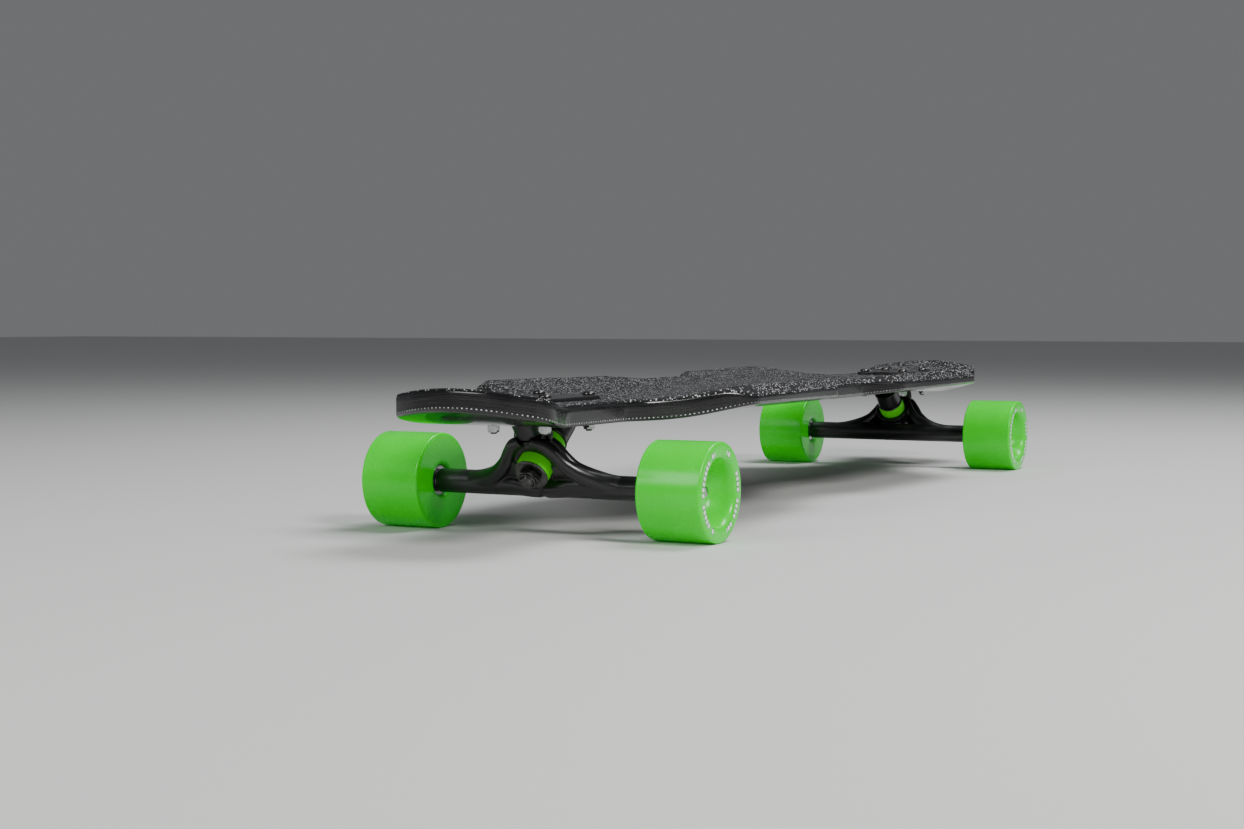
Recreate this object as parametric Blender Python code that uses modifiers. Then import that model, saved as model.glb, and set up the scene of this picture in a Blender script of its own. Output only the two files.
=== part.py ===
"""Drop-through longboard: a cut-away composite deck on two reverse-lean trucks with four wheels.

Frame: X across the board, Y along it (the nose is at -Y), Z up, ground at z = 0, origin under
the middle of the deck. Each truck is modelled once in its own frame, with its axle at the
origin, X across and Y outboard (towards the nearer end of the board), and placed by an empty.
Lengths are in metres.
"""

import math

import bmesh
import bpy

# ---------------------------------------------------------------- driving dimensions
GAP = 0.0003                    # between two pieces that touch

WHEELBASE = 0.730
OVERHANG = 0.1275               # nose or tail, beyond its axle
DECK_THICKNESS = 0.0145
RIDE_HEIGHT = 0.0595            # flat truck pads above the axles
PLATFORM_HALF = 0.1205          # half-width at the flares
RAIL_HALF = 0.112               # half-width where the rails start, beside the waist
WAIST_HALF = 0.089
WELL_SLOPE = 1.22               # width lost per length along a wheel well's wall
WELL_CLEARANCE = 0.0362         # where that wall meets the neck, inboard of the axle
FLARE_BLEND = 0.012             # roundness of the flare's tip
WELL_BLEND = 0.020              # and of the well's inner corner
NECK_HALF = 0.050
NOSE_HALF = 0.059
NOSE_CORNER = 0.012
END_BULGE = 0.0185              # how far the middle of an end stands proud of its corners
KICK_RISE = 0.0130              # rise of the nose and tail
CONCAVE = 0.764                 # rise of the rails, in metres per metre squared
RAIL_EDGE = 0.0020              # outer edge under the rail bevel, above the truck pads
EDGE_BREAK = 0.0022             # smallest bevel of the top edge
GRIP_THICKNESS = 0.0010

WHEEL_RADIUS = 0.035
WHEEL_WIDTH = 0.0487
WHEEL_SEAT_INSET = 0.0027       # inner bearing's depth below the inner face
CORE_GAP = 0.0100               # between the two bearings of a wheel
BEARING_RADIUS = 0.011
BEARING_WIDTH = 0.007
AXLE_RADIUS = 0.004
AXLE_TAIL = 0.0032              # thread that shows beyond an axle nut
AXLE_NUT_ACROSS = 0.0127
AXLE_NUT_HEIGHT = 0.0065
SPEED_WASHER = 0.0008

HANGER_HALF = 0.089             # half of the hanger's face to face width
TUBE_RADIUS = 0.00875
ARM_RADIUS = 0.0052
PIVOT_ANGLE = math.radians(50)  # steering axis above the deck's plane
SEAT_OUT = 0.0088               # bushing seat's centre, outboard of the axle
SEAT_UP = 0.0205                # and above it
HUB_WALL = 0.0033
SEAT_WEB = 0.0035               # half of the web that both bushings press on
SEAT_RIM = 0.0060               # half of the hub's depth over its rims
SEAT_HOLE = 0.0080
PIVOT_REACH = 0.0307            # bushing seat's centre to the ball of the pivot nose
NOSE_RADIUS = 0.0052
CUP_WALL = 0.0023
HOUSING_WALL = 0.0020
CUP_START = 0.0248              # mouth of the pivot cup, from the bushing seat's centre
ARM_REACH = 0.0180              # top of the arms, from the same point along the pivot axis
ARM_DROP = 0.0045               # and along the kingpin

KINGPIN_RADIUS = 0.00475
KINGPIN_TAIL = 0.0023           # thread that shows beyond the kingpin nut
KINGPIN_HEAD = 0.0060
KINGPIN_NUT_ACROSS = 0.0143
KINGPIN_NUT_HEIGHT = 0.0065
BUSHING_RADIUS = 0.0128
BUSHING_HEIGHT = 0.0132
WASHER_RADIUS = 0.0130
WASHER_THICKNESS = 0.0016
BOSS_RADIUS = 0.0120
BOSS_LENGTH = 0.0165

PLATE_LENGTH = 0.079
PLATE_WIDTH = 0.055
PLATE_THICKNESS = 0.0038
PLATE_OUT = 0.0070              # plate's centre, outboard of the axle
PLATE_CORNER = 0.005
RELIEF_WIDTH = 0.0170           # notch in the plate's inboard edge
RELIEF_DEPTH = 0.0035
BODY_LIFT = 0.0030              # underside of the plate's body, above the deck's underside
COLUMN_DROP = 0.0045            # kingpin column, below the deck's underside
COLUMN_IN = 0.0240              # its inboard and
COLUMN_OUT = 0.0020             # outboard faces, inboard of the axle
HEAD_ROOM = 0.0013              # round the kingpin's head
BOLT_SPACING_X = 0.0413
BOLT_SPACING_Y = 0.0635
BOLT_RADIUS = 0.00235
BOLT_HEAD_RADIUS = 0.0046
BOLT_HEAD_HEIGHT = 0.0026
BOLT_NUT_ACROSS = 0.0086
BOLT_NUT_HEIGHT = 0.0058
BOLT_TAIL = 0.0010              # thread that shows under its nut
HOLE_CLEARANCE = 0.00045        # round a bolt, in the plate and the deck
SLOT_HALF_X = 0.0160
SLOT_INSET = 0.0045             # slot's end, inside the end of the plate
BODY_INSET = 0.0015             # between the slot and the baseplate's body
NECK_MARGIN = 0.0085            # straight neck beyond the plate
WINDOW_MARGIN = 0.0010          # round the plate, in the grip sheet

# ---------------------------------------------------------------- derived places
AXLE_Y = WHEELBASE / 2
TIP_Y = AXLE_Y + OVERHANG
CORNER_Y = TIP_Y - END_BULGE
WELL_Y = AXLE_Y - WELL_CLEARANCE
FLARE_Y = WELL_Y - (PLATFORM_HALF - NECK_HALF) / WELL_SLOPE
NECK_OUT_Y = PLATE_OUT + AXLE_Y + PLATE_LENGTH / 2 + NECK_MARGIN
WAIST_Y = WHEELBASE * 0.048     # where the waist ends
RAIL_Y = WHEELBASE * 0.116      # and where the rails reach their width

DECK_TOP = WHEEL_RADIUS + RIDE_HEIGHT
DECK_UNDER = RIDE_HEIGHT - DECK_THICKNESS
PLATE_UNDER = RIDE_HEIGHT + GAP
PLATE_TOP = PLATE_UNDER + PLATE_THICKNESS
BEARING_FACE = HANGER_HALF + GAP + SPEED_WASHER + GAP
WHEEL_CENTRE = BEARING_FACE - WHEEL_SEAT_INSET + WHEEL_WIDTH / 2
BUSHING_START = SEAT_WEB + GAP
WASHER_START = BUSHING_START + BUSHING_HEIGHT + GAP
BOSS_START = WASHER_START + WASHER_THICKNESS + GAP
HEAD_START = BOSS_START + BOSS_LENGTH + GAP
KINGPIN_NUT_START = WASHER_START + WASHER_THICKNESS + GAP
KINGPIN_TIP = KINGPIN_NUT_START + KINGPIN_NUT_HEIGHT + KINGPIN_TAIL
AXLE_NUT_FACE = BEARING_FACE + 2 * BEARING_WIDTH + CORE_GAP + 2 * GAP + SPEED_WASHER
AXLE_HALF = AXLE_NUT_FACE + AXLE_NUT_HEIGHT + AXLE_TAIL
CUP_RADIUS = NOSE_RADIUS + GAP + CUP_WALL
SEAT_RADIUS = max(BUSHING_RADIUS, WASHER_RADIUS) + 2 * GAP
HUB_RADIUS = SEAT_RADIUS + HUB_WALL
HOUSING_RADIUS = CUP_RADIUS + GAP + HOUSING_WALL
CUP_END = PIVOT_REACH + NOSE_RADIUS + GAP + CUP_WALL / 2
HOLE_RADIUS = BOLT_RADIUS + HOLE_CLEARANCE
SLOT_HALF_Y = PLATE_LENGTH / 2 - SLOT_INSET
BODY_HALF_X = SLOT_HALF_X - BODY_INSET
BODY_HALF_Y = SLOT_HALF_Y - BODY_INSET

BOARD = "longboard"
HELPERS = "cutters_and_joined_shapes"


# ---------------------------------------------------------------- scene helpers
def clear_scene():
    """Remove every object of the open scene."""
    for obj in list(bpy.data.objects):
        bpy.data.objects.remove(obj, do_unlink=True)


def collection(name):
    """A collection of this name in the scene, made if it isn't there."""
    found = bpy.data.collections.get(name)
    if found is None:
        found = bpy.data.collections.new(name)
        bpy.context.scene.collection.children.link(found)
    return found


def material(name, colour, roughness, metallic=0.0):
    """A Principled material with one colour."""
    made = bpy.data.materials.new(name)
    made.use_nodes = True
    shader = made.node_tree.nodes["Principled BSDF"]
    shader.inputs["Base Color"].default_value = (*colour, 1.0)
    shader.inputs["Roughness"].default_value = roughness
    shader.inputs["Metallic"].default_value = metallic
    made.diffuse_color = (*colour, 1.0)
    return made


def add(name, mesh, parent=None, place=(0, 0, 0), turn=(0, 0, 0), finish=None, helper=False):
    """An object for a mesh or curve, under its parent empty; a helper stays out of renders."""
    obj = bpy.data.objects.new(name, mesh)
    obj.parent = parent
    obj.location = place
    obj.rotation_euler = turn
    if finish is not None:
        mesh.materials.append(finish)
    if helper:
        obj.hide_render = True
        obj.display_type = "WIRE"
    collection(HELPERS if helper else BOARD).objects.link(obj)
    return obj


def empty(name, parent=None, place=(0, 0, 0), turn=(0, 0, 0)):
    """An empty that holds the pieces placed in one frame."""
    return add(name, None, parent, place, turn)


def smooth(mesh, angle=math.radians(40)):
    """Shade round sides smooth and keep real edges sharp."""
    mesh.shade_smooth()
    mesh.set_sharp_from_angle(angle=angle)


def mesh_from(name, bm):
    """The mesh data of a bmesh, which is freed."""
    mesh = bpy.data.meshes.new(name)
    bm.to_mesh(mesh)
    bm.free()
    smooth(mesh)
    return mesh


def cylinder(name, radius, low, high, sides=20):
    """A mesh cylinder on Z, from z = low to z = high."""
    bm = bmesh.new()
    bmesh.ops.create_cone(bm, cap_ends=True, segments=sides, radius1=radius, radius2=radius,
                          depth=high - low)
    bmesh.ops.translate(bm, verts=bm.verts, vec=(0, 0, (low + high) / 2))
    return mesh_from(name, bm)


def box(name, low, high):
    """A mesh box between two corners."""
    bm = bmesh.new()
    bmesh.ops.create_cube(bm, size=1)
    size = [b - a for a, b in zip(low, high)]
    bmesh.ops.scale(bm, verts=bm.verts, vec=size)
    bmesh.ops.translate(bm, verts=bm.verts, vec=[(a + b) / 2 for a, b in zip(low, high)])
    return mesh_from(name, bm)


def round_upright_edges(obj, radius, segments=3):
    """Round a box's four edges that run along Z."""
    bm = bmesh.new()
    bm.from_mesh(obj.data)
    upright = [e for e in bm.edges
               if abs(e.verts[0].co.z - e.verts[1].co.z) > 1e-6
               and (e.verts[0].co.xy - e.verts[1].co.xy).length < 1e-6]
    bmesh.ops.bevel(bm, geom=upright, offset=radius, segments=segments, affect="EDGES", profile=0.5)
    bm.to_mesh(obj.data)
    bm.free()


def turned(name, profile, parent, place=(0, 0, 0), turn=(0, 0, 0), finish=None,
           sides=20, ring=False, helper=False):
    """A turned piece about Z: the profile's (radius, height) points run down its outer side."""
    mesh = bpy.data.meshes.new(name)
    edges = [(i, i + 1) for i in range(len(profile) - 1)]
    if ring:
        edges.append((len(profile) - 1, 0))
    mesh.from_pydata([(radius, 0, height) for radius, height in profile], edges, [])
    obj = add(name, mesh, parent, place, turn, finish, helper)
    screw = obj.modifiers.new("turn", "SCREW")
    screw.steps = screw.render_steps = sides
    screw.use_merge_vertices = True
    screw.merge_threshold = 0.00001
    screw.use_smooth_shade = True
    return obj


def combine(obj, other, operation):
    """Join or cut obj with a helper object."""
    boolean = obj.modifiers.new(f"{operation.lower()}_{other.name}", "BOOLEAN")
    boolean.operation = operation
    boolean.object = other


def cut_by(obj, cutters):
    """Cut obj with every cutter of a collection."""
    boolean = obj.modifiers.new("cut_outs", "BOOLEAN")
    boolean.operation = "DIFFERENCE"
    boolean.operand_type = "COLLECTION"
    boolean.collection = cutters


def nut(name, across, height, bore, parent, place, turn, finish, collar=0.0):
    """A hexagon nut on Z with a through bore, and a round collar on its far end."""
    obj = add(name, cylinder(name, across / math.sqrt(3), 0, height - collar, 6), parent, place, turn,
              finish)
    if collar:
        ring = add(f"{name}_collar", cylinder(name, across * 0.46, height - 1.5 * collar, height, 16),
                   parent, place, turn, helper=True)
        combine(obj, ring, "UNION")
    hole = add(f"{name}_bore", cylinder(name, bore, -height, 2 * height, 12), parent, place, turn,
               helper=True)
    combine(obj, hole, "DIFFERENCE")
    return obj


# ---------------------------------------------------------------- deck
def ease(value, low, high):
    """0 below low, 1 above high, and a smooth rise between."""
    t = min(max((value - low) / (high - low), 0.0), 1.0)
    return t * t * (3 - 2 * t)


def blend(value, limit, width):
    """The smaller of the two values, rounded off where they cross; a negative width, the larger."""
    near = max(abs(width) - abs(value - limit), 0.0) ** 2 / (4 * width)
    return (min(value, limit) if width > 0 else max(value, limit)) - near


def half_width(y):
    """Half-width of the deck at a distance y from its middle."""
    rail = WAIST_HALF + (RAIL_HALF - WAIST_HALF) * ease(y, WAIST_Y, RAIL_Y)
    rail += (PLATFORM_HALF - RAIL_HALF) * ease(y, RAIL_Y, FLARE_Y - 0.04)
    wall = PLATFORM_HALF - WELL_SLOPE * (y - FLARE_Y)
    neck = NECK_HALF + (NOSE_HALF - NECK_HALF) * ease(y, NECK_OUT_Y, CORNER_Y - NOSE_CORNER)
    corner = max(y - CORNER_Y + NOSE_CORNER, 0.0) / NOSE_CORNER
    return blend(blend(rail, wall, FLARE_BLEND), neck, -WELL_BLEND) - 0.35 * NOSE_CORNER * corner ** 2


def surface(x, y):
    """Height of the deck's top face before its edges are broken."""
    along = abs(y)
    concave = CONCAVE * x * x * (1 - ease(along, FLARE_Y, WELL_Y))
    kick = max(along - NECK_OUT_Y, 0.0) / (TIP_Y - NECK_OUT_Y)
    return DECK_TOP + concave + KICK_RISE * kick * kick


def spread(low, high, steps):
    """Places between two ends, given as shares of the way."""
    return [low + (high - low) * step for step in steps]


def stations():
    """Distances from the middle at which the deck has a cross-section."""
    nose = CORNER_Y - NOSE_CORNER
    return [0.0, *spread(WAIST_Y, RAIL_Y, (0, 0.25, 0.5, 0.75, 1)),
            *spread(RAIL_Y, FLARE_Y, (0.27, 0.56, 0.8)),
            *spread(FLARE_Y, WELL_Y, (-0.14, -0.035, 0.07, 0.21, 0.46, 0.69, 0.84, 1.03)),
            AXLE_Y, *spread(NECK_OUT_Y, nose, (0, 0.33, 0.66, 1)),
            *spread(nose, CORNER_Y, (0.5, 1))]


def bevel_drop(y):
    """How far the top face's outer edge is cut down at a distance y from the middle."""
    rail = max(surface(half_width(y), y) - DECK_TOP - RAIL_EDGE, EDGE_BREAK)
    return EDGE_BREAK + (rail - EDGE_BREAK) * (1 - ease(y, FLARE_Y - 0.004, FLARE_Y + 0.022))


def section(y):
    """The deck's top points at one station, from -X to +X, as (x, y, height, height of the
    face without its edge bevel)."""
    along = abs(y)
    half, drop = half_width(along), bevel_drop(along)
    inner = [(half - max(drop, 0.003)) * k / 3 for k in range(-3, 4)]
    end = ease(along, NECK_OUT_Y, CORNER_Y)
    points = []
    for x, lowered in ((-half, drop), *((x, 0.0) for x in inner), (half, drop)):
        place = along + END_BULGE * end * (1 - (x / half) ** 2)
        height = surface(x, place)
        points.append((x, math.copysign(place, y), height - lowered, height))
    return points


def add_quad(bm, a, b, c, d):
    """Two triangles with their diagonal from a to c."""
    bm.faces.new((a, b, c))
    bm.faces.new((a, c, d))


def loft(name, lift, depth, level_floor):
    """A closed mesh through the deck's cross-sections, nose to tail.

    Its top is raised by lift over the deck's, and it is as deep as depth; a level floor doesn't
    follow the edge bevel.
    """
    rows = stations()
    bm = bmesh.new()
    sheets = []
    for station in [-y for y in reversed(rows[1:])] + rows:
        points = section(station)
        sheets.append((
            [bm.verts.new((x, y, z + lift)) for x, y, z, _ in points],
            [bm.verts.new((x, y, (full if level_floor else z) + lift - depth))
             for x, y, z, full in points]))
    for (top0, low0), (top1, low1) in zip(sheets, sheets[1:]):
        for i in range(len(top0) - 1):
            add_quad(bm, top0[i], top0[i + 1], top1[i + 1], top1[i])
            add_quad(bm, low0[i], low1[i], low1[i + 1], low0[i + 1])
        add_quad(bm, top0[0], top1[0], low1[0], low0[0])
        add_quad(bm, top0[-1], low0[-1], low1[-1], top1[-1])
    for top, low, order in ((*sheets[0], 1), (*sheets[-1], -1)):
        for i in range(len(top) - 1):
            bm.faces.new((top[i], low[i], low[i + 1], top[i + 1])[::order])
    bm.normal_update()
    return mesh_from(name, bm)


def bolt_places():
    """The four bolts' (x, y) in the truck frame."""
    return [(sx * BOLT_SPACING_X / 2, PLATE_OUT + sy * BOLT_SPACING_Y / 2)
            for sx in (-1, 1) for sy in (-1, 1)]


def build_deck(trucks, finishes):
    """The deck with its truck slots and bolt holes, and the grip sheet with its plate windows."""
    deck = add("deck", loft("deck", 0.0, DECK_THICKNESS, True), finish=finishes["deck"])
    grip = add("grip_sheet", loft("grip_sheet", GAP + GRIP_THICKNESS, GRIP_THICKNESS, False),
               finish=finishes["grip"])
    deck_cuts = collection("deck_cuts")
    grip_cuts = collection("grip_cuts")
    low, high = DECK_UNDER - 0.01, RIDE_HEIGHT + 0.02
    window_x = PLATE_WIDTH / 2 + WINDOW_MARGIN
    window_y = PLATE_LENGTH / 2 + WINDOW_MARGIN
    for truck in trucks:
        end = truck.name.split("_")[0]
        slot = add(f"{end}_slot", box("slot", (-SLOT_HALF_X, PLATE_OUT - SLOT_HALF_Y, low),
                                      (SLOT_HALF_X, PLATE_OUT + SLOT_HALF_Y, high)),
                   truck, helper=True)
        round_upright_edges(slot, PLATE_CORNER + BODY_INSET)
        deck_cuts.objects.link(slot)
        for number, (x, y) in enumerate(bolt_places(), 1):
            hole = add(f"{end}_deck_hole_{number}", cylinder("hole", HOLE_RADIUS, low, high, 12),
                       truck, (x, y, 0), helper=True)
            deck_cuts.objects.link(hole)
        window = add(f"{end}_window",
                     box("window", (-window_x, PLATE_OUT - window_y, low),
                         (window_x, PLATE_OUT + window_y, high)), truck, helper=True)
        round_upright_edges(window, PLATE_CORNER + WINDOW_MARGIN)
        grip_cuts.objects.link(window)
    cut_by(deck, deck_cuts)
    cut_by(grip, grip_cuts)


# ---------------------------------------------------------------- truck
def build_baseplate(end, truck, kingpin_axis, pivot_axis, finish):
    """Flange, body through the deck, kingpin boss and pivot cup housing, as one casting."""
    name = f"{end}_baseplate"
    near, far = PLATE_OUT - PLATE_LENGTH / 2, PLATE_OUT + PLATE_LENGTH / 2
    plate = add(name, box(name, (-PLATE_WIDTH / 2, near, PLATE_UNDER),
                          (PLATE_WIDTH / 2, far, PLATE_TOP)), truck, finish=finish)
    round_upright_edges(plate, PLATE_CORNER)
    body = add(f"{name}_body",
               box(name, (-BODY_HALF_X, PLATE_OUT - BODY_HALF_Y, DECK_UNDER + BODY_LIFT),
                   (BODY_HALF_X, PLATE_OUT + BODY_HALF_Y, PLATE_UNDER + PLATE_THICKNESS / 4)),
               truck, helper=True)
    round_upright_edges(body, PLATE_CORNER)
    column_x = BOSS_RADIUS * 0.917
    column = add(f"{name}_column",
                 box(name, (-column_x, -COLUMN_IN, DECK_UNDER - COLUMN_DROP),
                     (column_x, -COLUMN_OUT, PLATE_UNDER + PLATE_THICKNESS / 8)),
                 truck, helper=True)
    boss = add(f"{name}_boss", cylinder(name, BOSS_RADIUS, -HEAD_START - 0.002, -BOSS_START),
               kingpin_axis, helper=True)
    housing = add(f"{name}_housing",
                  cylinder(name, HOUSING_RADIUS, CUP_START - GAP, CUP_END + HOUSING_WALL),
                  pivot_axis, helper=True)
    for shape in (body, column, boss, housing):
        combine(plate, shape, "UNION")

    relief = add(f"{name}_relief", box(name, (-RELIEF_WIDTH / 2, near - 0.01, PLATE_UNDER - 0.001),
                                       (RELIEF_WIDTH / 2, near + RELIEF_DEPTH, PLATE_TOP + 0.01)),
                 truck, helper=True)
    round_upright_edges(relief, 0.0015)
    head_pocket = add(f"{name}_head_pocket",
                      cylinder(name, KINGPIN_NUT_ACROSS / 2 + HEAD_ROOM,
                               -HEAD_START - KINGPIN_HEAD - 0.0045, -HEAD_START + GAP),
                      kingpin_axis, helper=True)
    kingpin_hole = add(f"{name}_kingpin_hole",
                       cylinder(name, KINGPIN_RADIUS + GAP, -HEAD_START - KINGPIN_HEAD, 0.0),
                       kingpin_axis, helper=True)
    cup_bore = add(f"{name}_cup_bore", cylinder(name, CUP_RADIUS + GAP, 0.0, CUP_END + GAP),
                   pivot_axis, helper=True)
    for shape in (relief, head_pocket, kingpin_hole, cup_bore):
        combine(plate, shape, "DIFFERENCE")
    for number, (x, y) in enumerate(bolt_places(), 1):
        hole = add(f"{name}_hole_{number}",
                   cylinder("hole", HOLE_RADIUS, PLATE_UNDER - 0.002, PLATE_TOP + 0.002, 12), truck,
                   (x, y, 0), helper=True)
        combine(plate, hole, "DIFFERENCE")


def from_seat(along_pivot, along_kingpin):
    """(y, z) from the axle, for distances from the bushing seat along the truck's two axes."""
    rise, run = math.sin(PIVOT_ANGLE), math.cos(PIVOT_ANGLE)
    return (SEAT_OUT + along_pivot * run + along_kingpin * rise,
            SEAT_UP + along_pivot * rise - along_kingpin * run)


def arch_mesh(name):
    """The arms as one bowed tube, from the axle tube over the pivot nose's root and back."""
    curve = bpy.data.curves.new(name, "CURVE")
    curve.dimensions = "3D"
    curve.bevel_depth = ARM_RADIUS
    curve.bevel_resolution = 2
    curve.use_fill_caps = True
    top_y, top_z = from_seat(ARM_REACH, ARM_DROP)
    half = ((0.060, 0.0, 0.0), (0.046, 0.0030, 0.0030), (0.033, 0.0105, 0.0090),
            (0.024, 0.0175, 0.0165), (0.018, top_y - 0.0020, top_z - 0.0070),
            (0.007, top_y, top_z))
    path = [*half, *((-x, y, z) for x, y, z in reversed(half))]
    spline = curve.splines.new("POLY")
    spline.points.add(len(path) - 1)
    for point, place in zip(spline.points, path):
        point.co = (*place, 1)
    source = bpy.data.objects.new(name, curve)
    collection(HELPERS).objects.link(source)
    graph = bpy.context.evaluated_depsgraph_get()
    mesh = bpy.data.meshes.new_from_object(source.evaluated_get(graph))
    bpy.data.objects.remove(source)
    bm = bmesh.new()
    bm.from_mesh(mesh)
    bmesh.ops.remove_doubles(bm, verts=bm.verts, dist=0.00001)
    bm.to_mesh(mesh)
    bm.free()
    return mesh


def build_hanger(end, steer, finish):
    """Axle tube, bushing hub, pivot nose and arms, as one casting that steers on its pivot."""
    name = f"{end}_hanger"
    to_axle = (0, -SEAT_OUT, -SEAT_UP)
    along_x = (0, math.pi / 2, 0)
    flat = (-(math.pi - PIVOT_ANGLE), 0, 0)
    slope = (-(math.pi / 2 - PIVOT_ANGLE), 0, 0)
    hanger = add(name, cylinder(name, TUBE_RADIUS, -HANGER_HALF, HANGER_HALF),
                 steer, to_axle, along_x, finish)
    hub = add(f"{name}_hub", cylinder(name, HUB_RADIUS, -SEAT_RIM, SEAT_RIM, 24), steer,
              turn=flat, helper=True)
    nose = turned(f"{name}_nose", (
        (0.0, PIVOT_REACH + NOSE_RADIUS), (NOSE_RADIUS * 0.5, PIVOT_REACH + NOSE_RADIUS * 0.87),
        (NOSE_RADIUS * 0.87, PIVOT_REACH + NOSE_RADIUS * 0.5), (NOSE_RADIUS, PIVOT_REACH),
        (NOSE_RADIUS, CUP_START - 0.0015), (0.0080, HUB_RADIUS - 0.0006),
        (0.0080, SEAT_RADIUS + 0.0010), (0.0, SEAT_RADIUS + 0.0010)),
        steer, turn=slope, sides=16, helper=True)
    combine(hanger, hub, "UNION")
    combine(hanger, nose, "UNION")
    arms = add(f"{name}_arms", arch_mesh(f"{name}_arms"), steer, to_axle, helper=True)
    combine(hanger, arms, "UNION")
    for sign, word in ((-1, "upper"), (1, "lower")):
        low, high = sorted((sign * SEAT_WEB, sign * (WASHER_START + 0.02)))
        seat = add(f"{name}_seat_{word}", cylinder(name, SEAT_RADIUS, low, high, 24),
                   steer, turn=flat, helper=True)
        combine(hanger, seat, "DIFFERENCE")
    hole = add(f"{name}_kingpin_hole", cylinder(name, SEAT_HOLE, -0.03, 0.03), steer,
               turn=flat, helper=True)
    bore = add(f"{name}_axle_bore", cylinder(name, AXLE_RADIUS + GAP, -0.2, 0.2, 12), steer,
               to_axle, along_x, helper=True)
    combine(hanger, hole, "DIFFERENCE")
    combine(hanger, bore, "DIFFERENCE")


def build_kingpin_stack(end, kingpin_axis, finishes):
    """Kingpin, its nut, the two cupped washers and the two bushings."""
    metal, soft = finishes["kingpin"], finishes["bushing"]
    turned(f"{end}_kingpin", (
        (0.0, KINGPIN_TIP), (KINGPIN_RADIUS - 0.001, KINGPIN_TIP),
        (KINGPIN_RADIUS, KINGPIN_TIP - 0.001), (KINGPIN_RADIUS, -HEAD_START),
        (KINGPIN_NUT_ACROSS / 2 - 0.0002, -HEAD_START),
        (KINGPIN_NUT_ACROSS / 2 - 0.0002, -HEAD_START - KINGPIN_HEAD + 0.0012),
        (KINGPIN_NUT_ACROSS / 2 - 0.0014, -HEAD_START - KINGPIN_HEAD),
        (0.0, -HEAD_START - KINGPIN_HEAD)), kingpin_axis, finish=metal, sides=16)
    nut(f"{end}_kingpin_nut", KINGPIN_NUT_ACROSS, KINGPIN_NUT_HEIGHT, KINGPIN_RADIUS + GAP,
        kingpin_axis, (0, 0, KINGPIN_NUT_START), (0, 0, 0), metal, collar=0.0016)
    for word, sign in (("roadside", 1), ("boardside", -1)):
        bore = KINGPIN_RADIUS + GAP
        waist = BUSHING_RADIUS - 0.0006
        bushing = [(waist, BUSHING_HEIGHT), (BUSHING_RADIUS, BUSHING_HEIGHT - 0.0012),
                   (BUSHING_RADIUS, 0.0012), (waist, 0.0), (bore, 0.0), (bore, BUSHING_HEIGHT)]
        washer = [(WASHER_RADIUS, WASHER_THICKNESS - 0.0004), (WASHER_RADIUS, 0.0), (bore, 0.0),
                  (bore, WASHER_THICKNESS), (WASHER_RADIUS - 0.0022, WASHER_THICKNESS)]
        flip = (0, 0, 0) if sign > 0 else (math.pi, 0, 0)
        turned(f"{end}_{word}_bushing", bushing, kingpin_axis, (0, 0, sign * BUSHING_START), flip,
               soft, ring=True)
        turned(f"{end}_{word}_washer", washer, kingpin_axis, (0, 0, sign * WASHER_START), flip,
               metal, ring=True)


def build_pivot_cup(end, pivot_axis, finish):
    """The urethane cup in the baseplate that holds the hanger's pivot nose."""
    bore = NOSE_RADIUS + GAP
    turned(f"{end}_pivot_cup", (
        (0.0, CUP_END), (CUP_RADIUS, CUP_END), (CUP_RADIUS, CUP_START), (bore, CUP_START),
        (bore, PIVOT_REACH), (bore * 0.87, PIVOT_REACH + bore * 0.5),
        (bore * 0.5, PIVOT_REACH + bore * 0.87), (0.0, PIVOT_REACH + bore)),
        pivot_axis, finish=finish, sides=16)


def build_bolts(end, truck, finish):
    """Four flange bolts from above, each with its nut under the deck."""
    nut_top = DECK_UNDER - GAP
    tail = nut_top - BOLT_NUT_HEIGHT - BOLT_TAIL
    for number, (x, y) in enumerate(bolt_places(), 1):
        top = PLATE_TOP + GAP
        turned(f"{end}_bolt_{number}", (
            (0.0, top + BOLT_HEAD_HEIGHT), (BOLT_HEAD_RADIUS * 0.72, top + BOLT_HEAD_HEIGHT),
            (BOLT_HEAD_RADIUS, top + BOLT_HEAD_HEIGHT * 0.45), (BOLT_HEAD_RADIUS, top),
            (BOLT_RADIUS, top), (BOLT_RADIUS, tail), (0.0, tail)),
            truck, (x, y, 0), finish=finish, sides=12)
        nut(f"{end}_bolt_nut_{number}", BOLT_NUT_ACROSS, BOLT_NUT_HEIGHT, BOLT_RADIUS + GAP, truck,
            (x, y, nut_top), (math.pi, 0, 0), finish)


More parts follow.
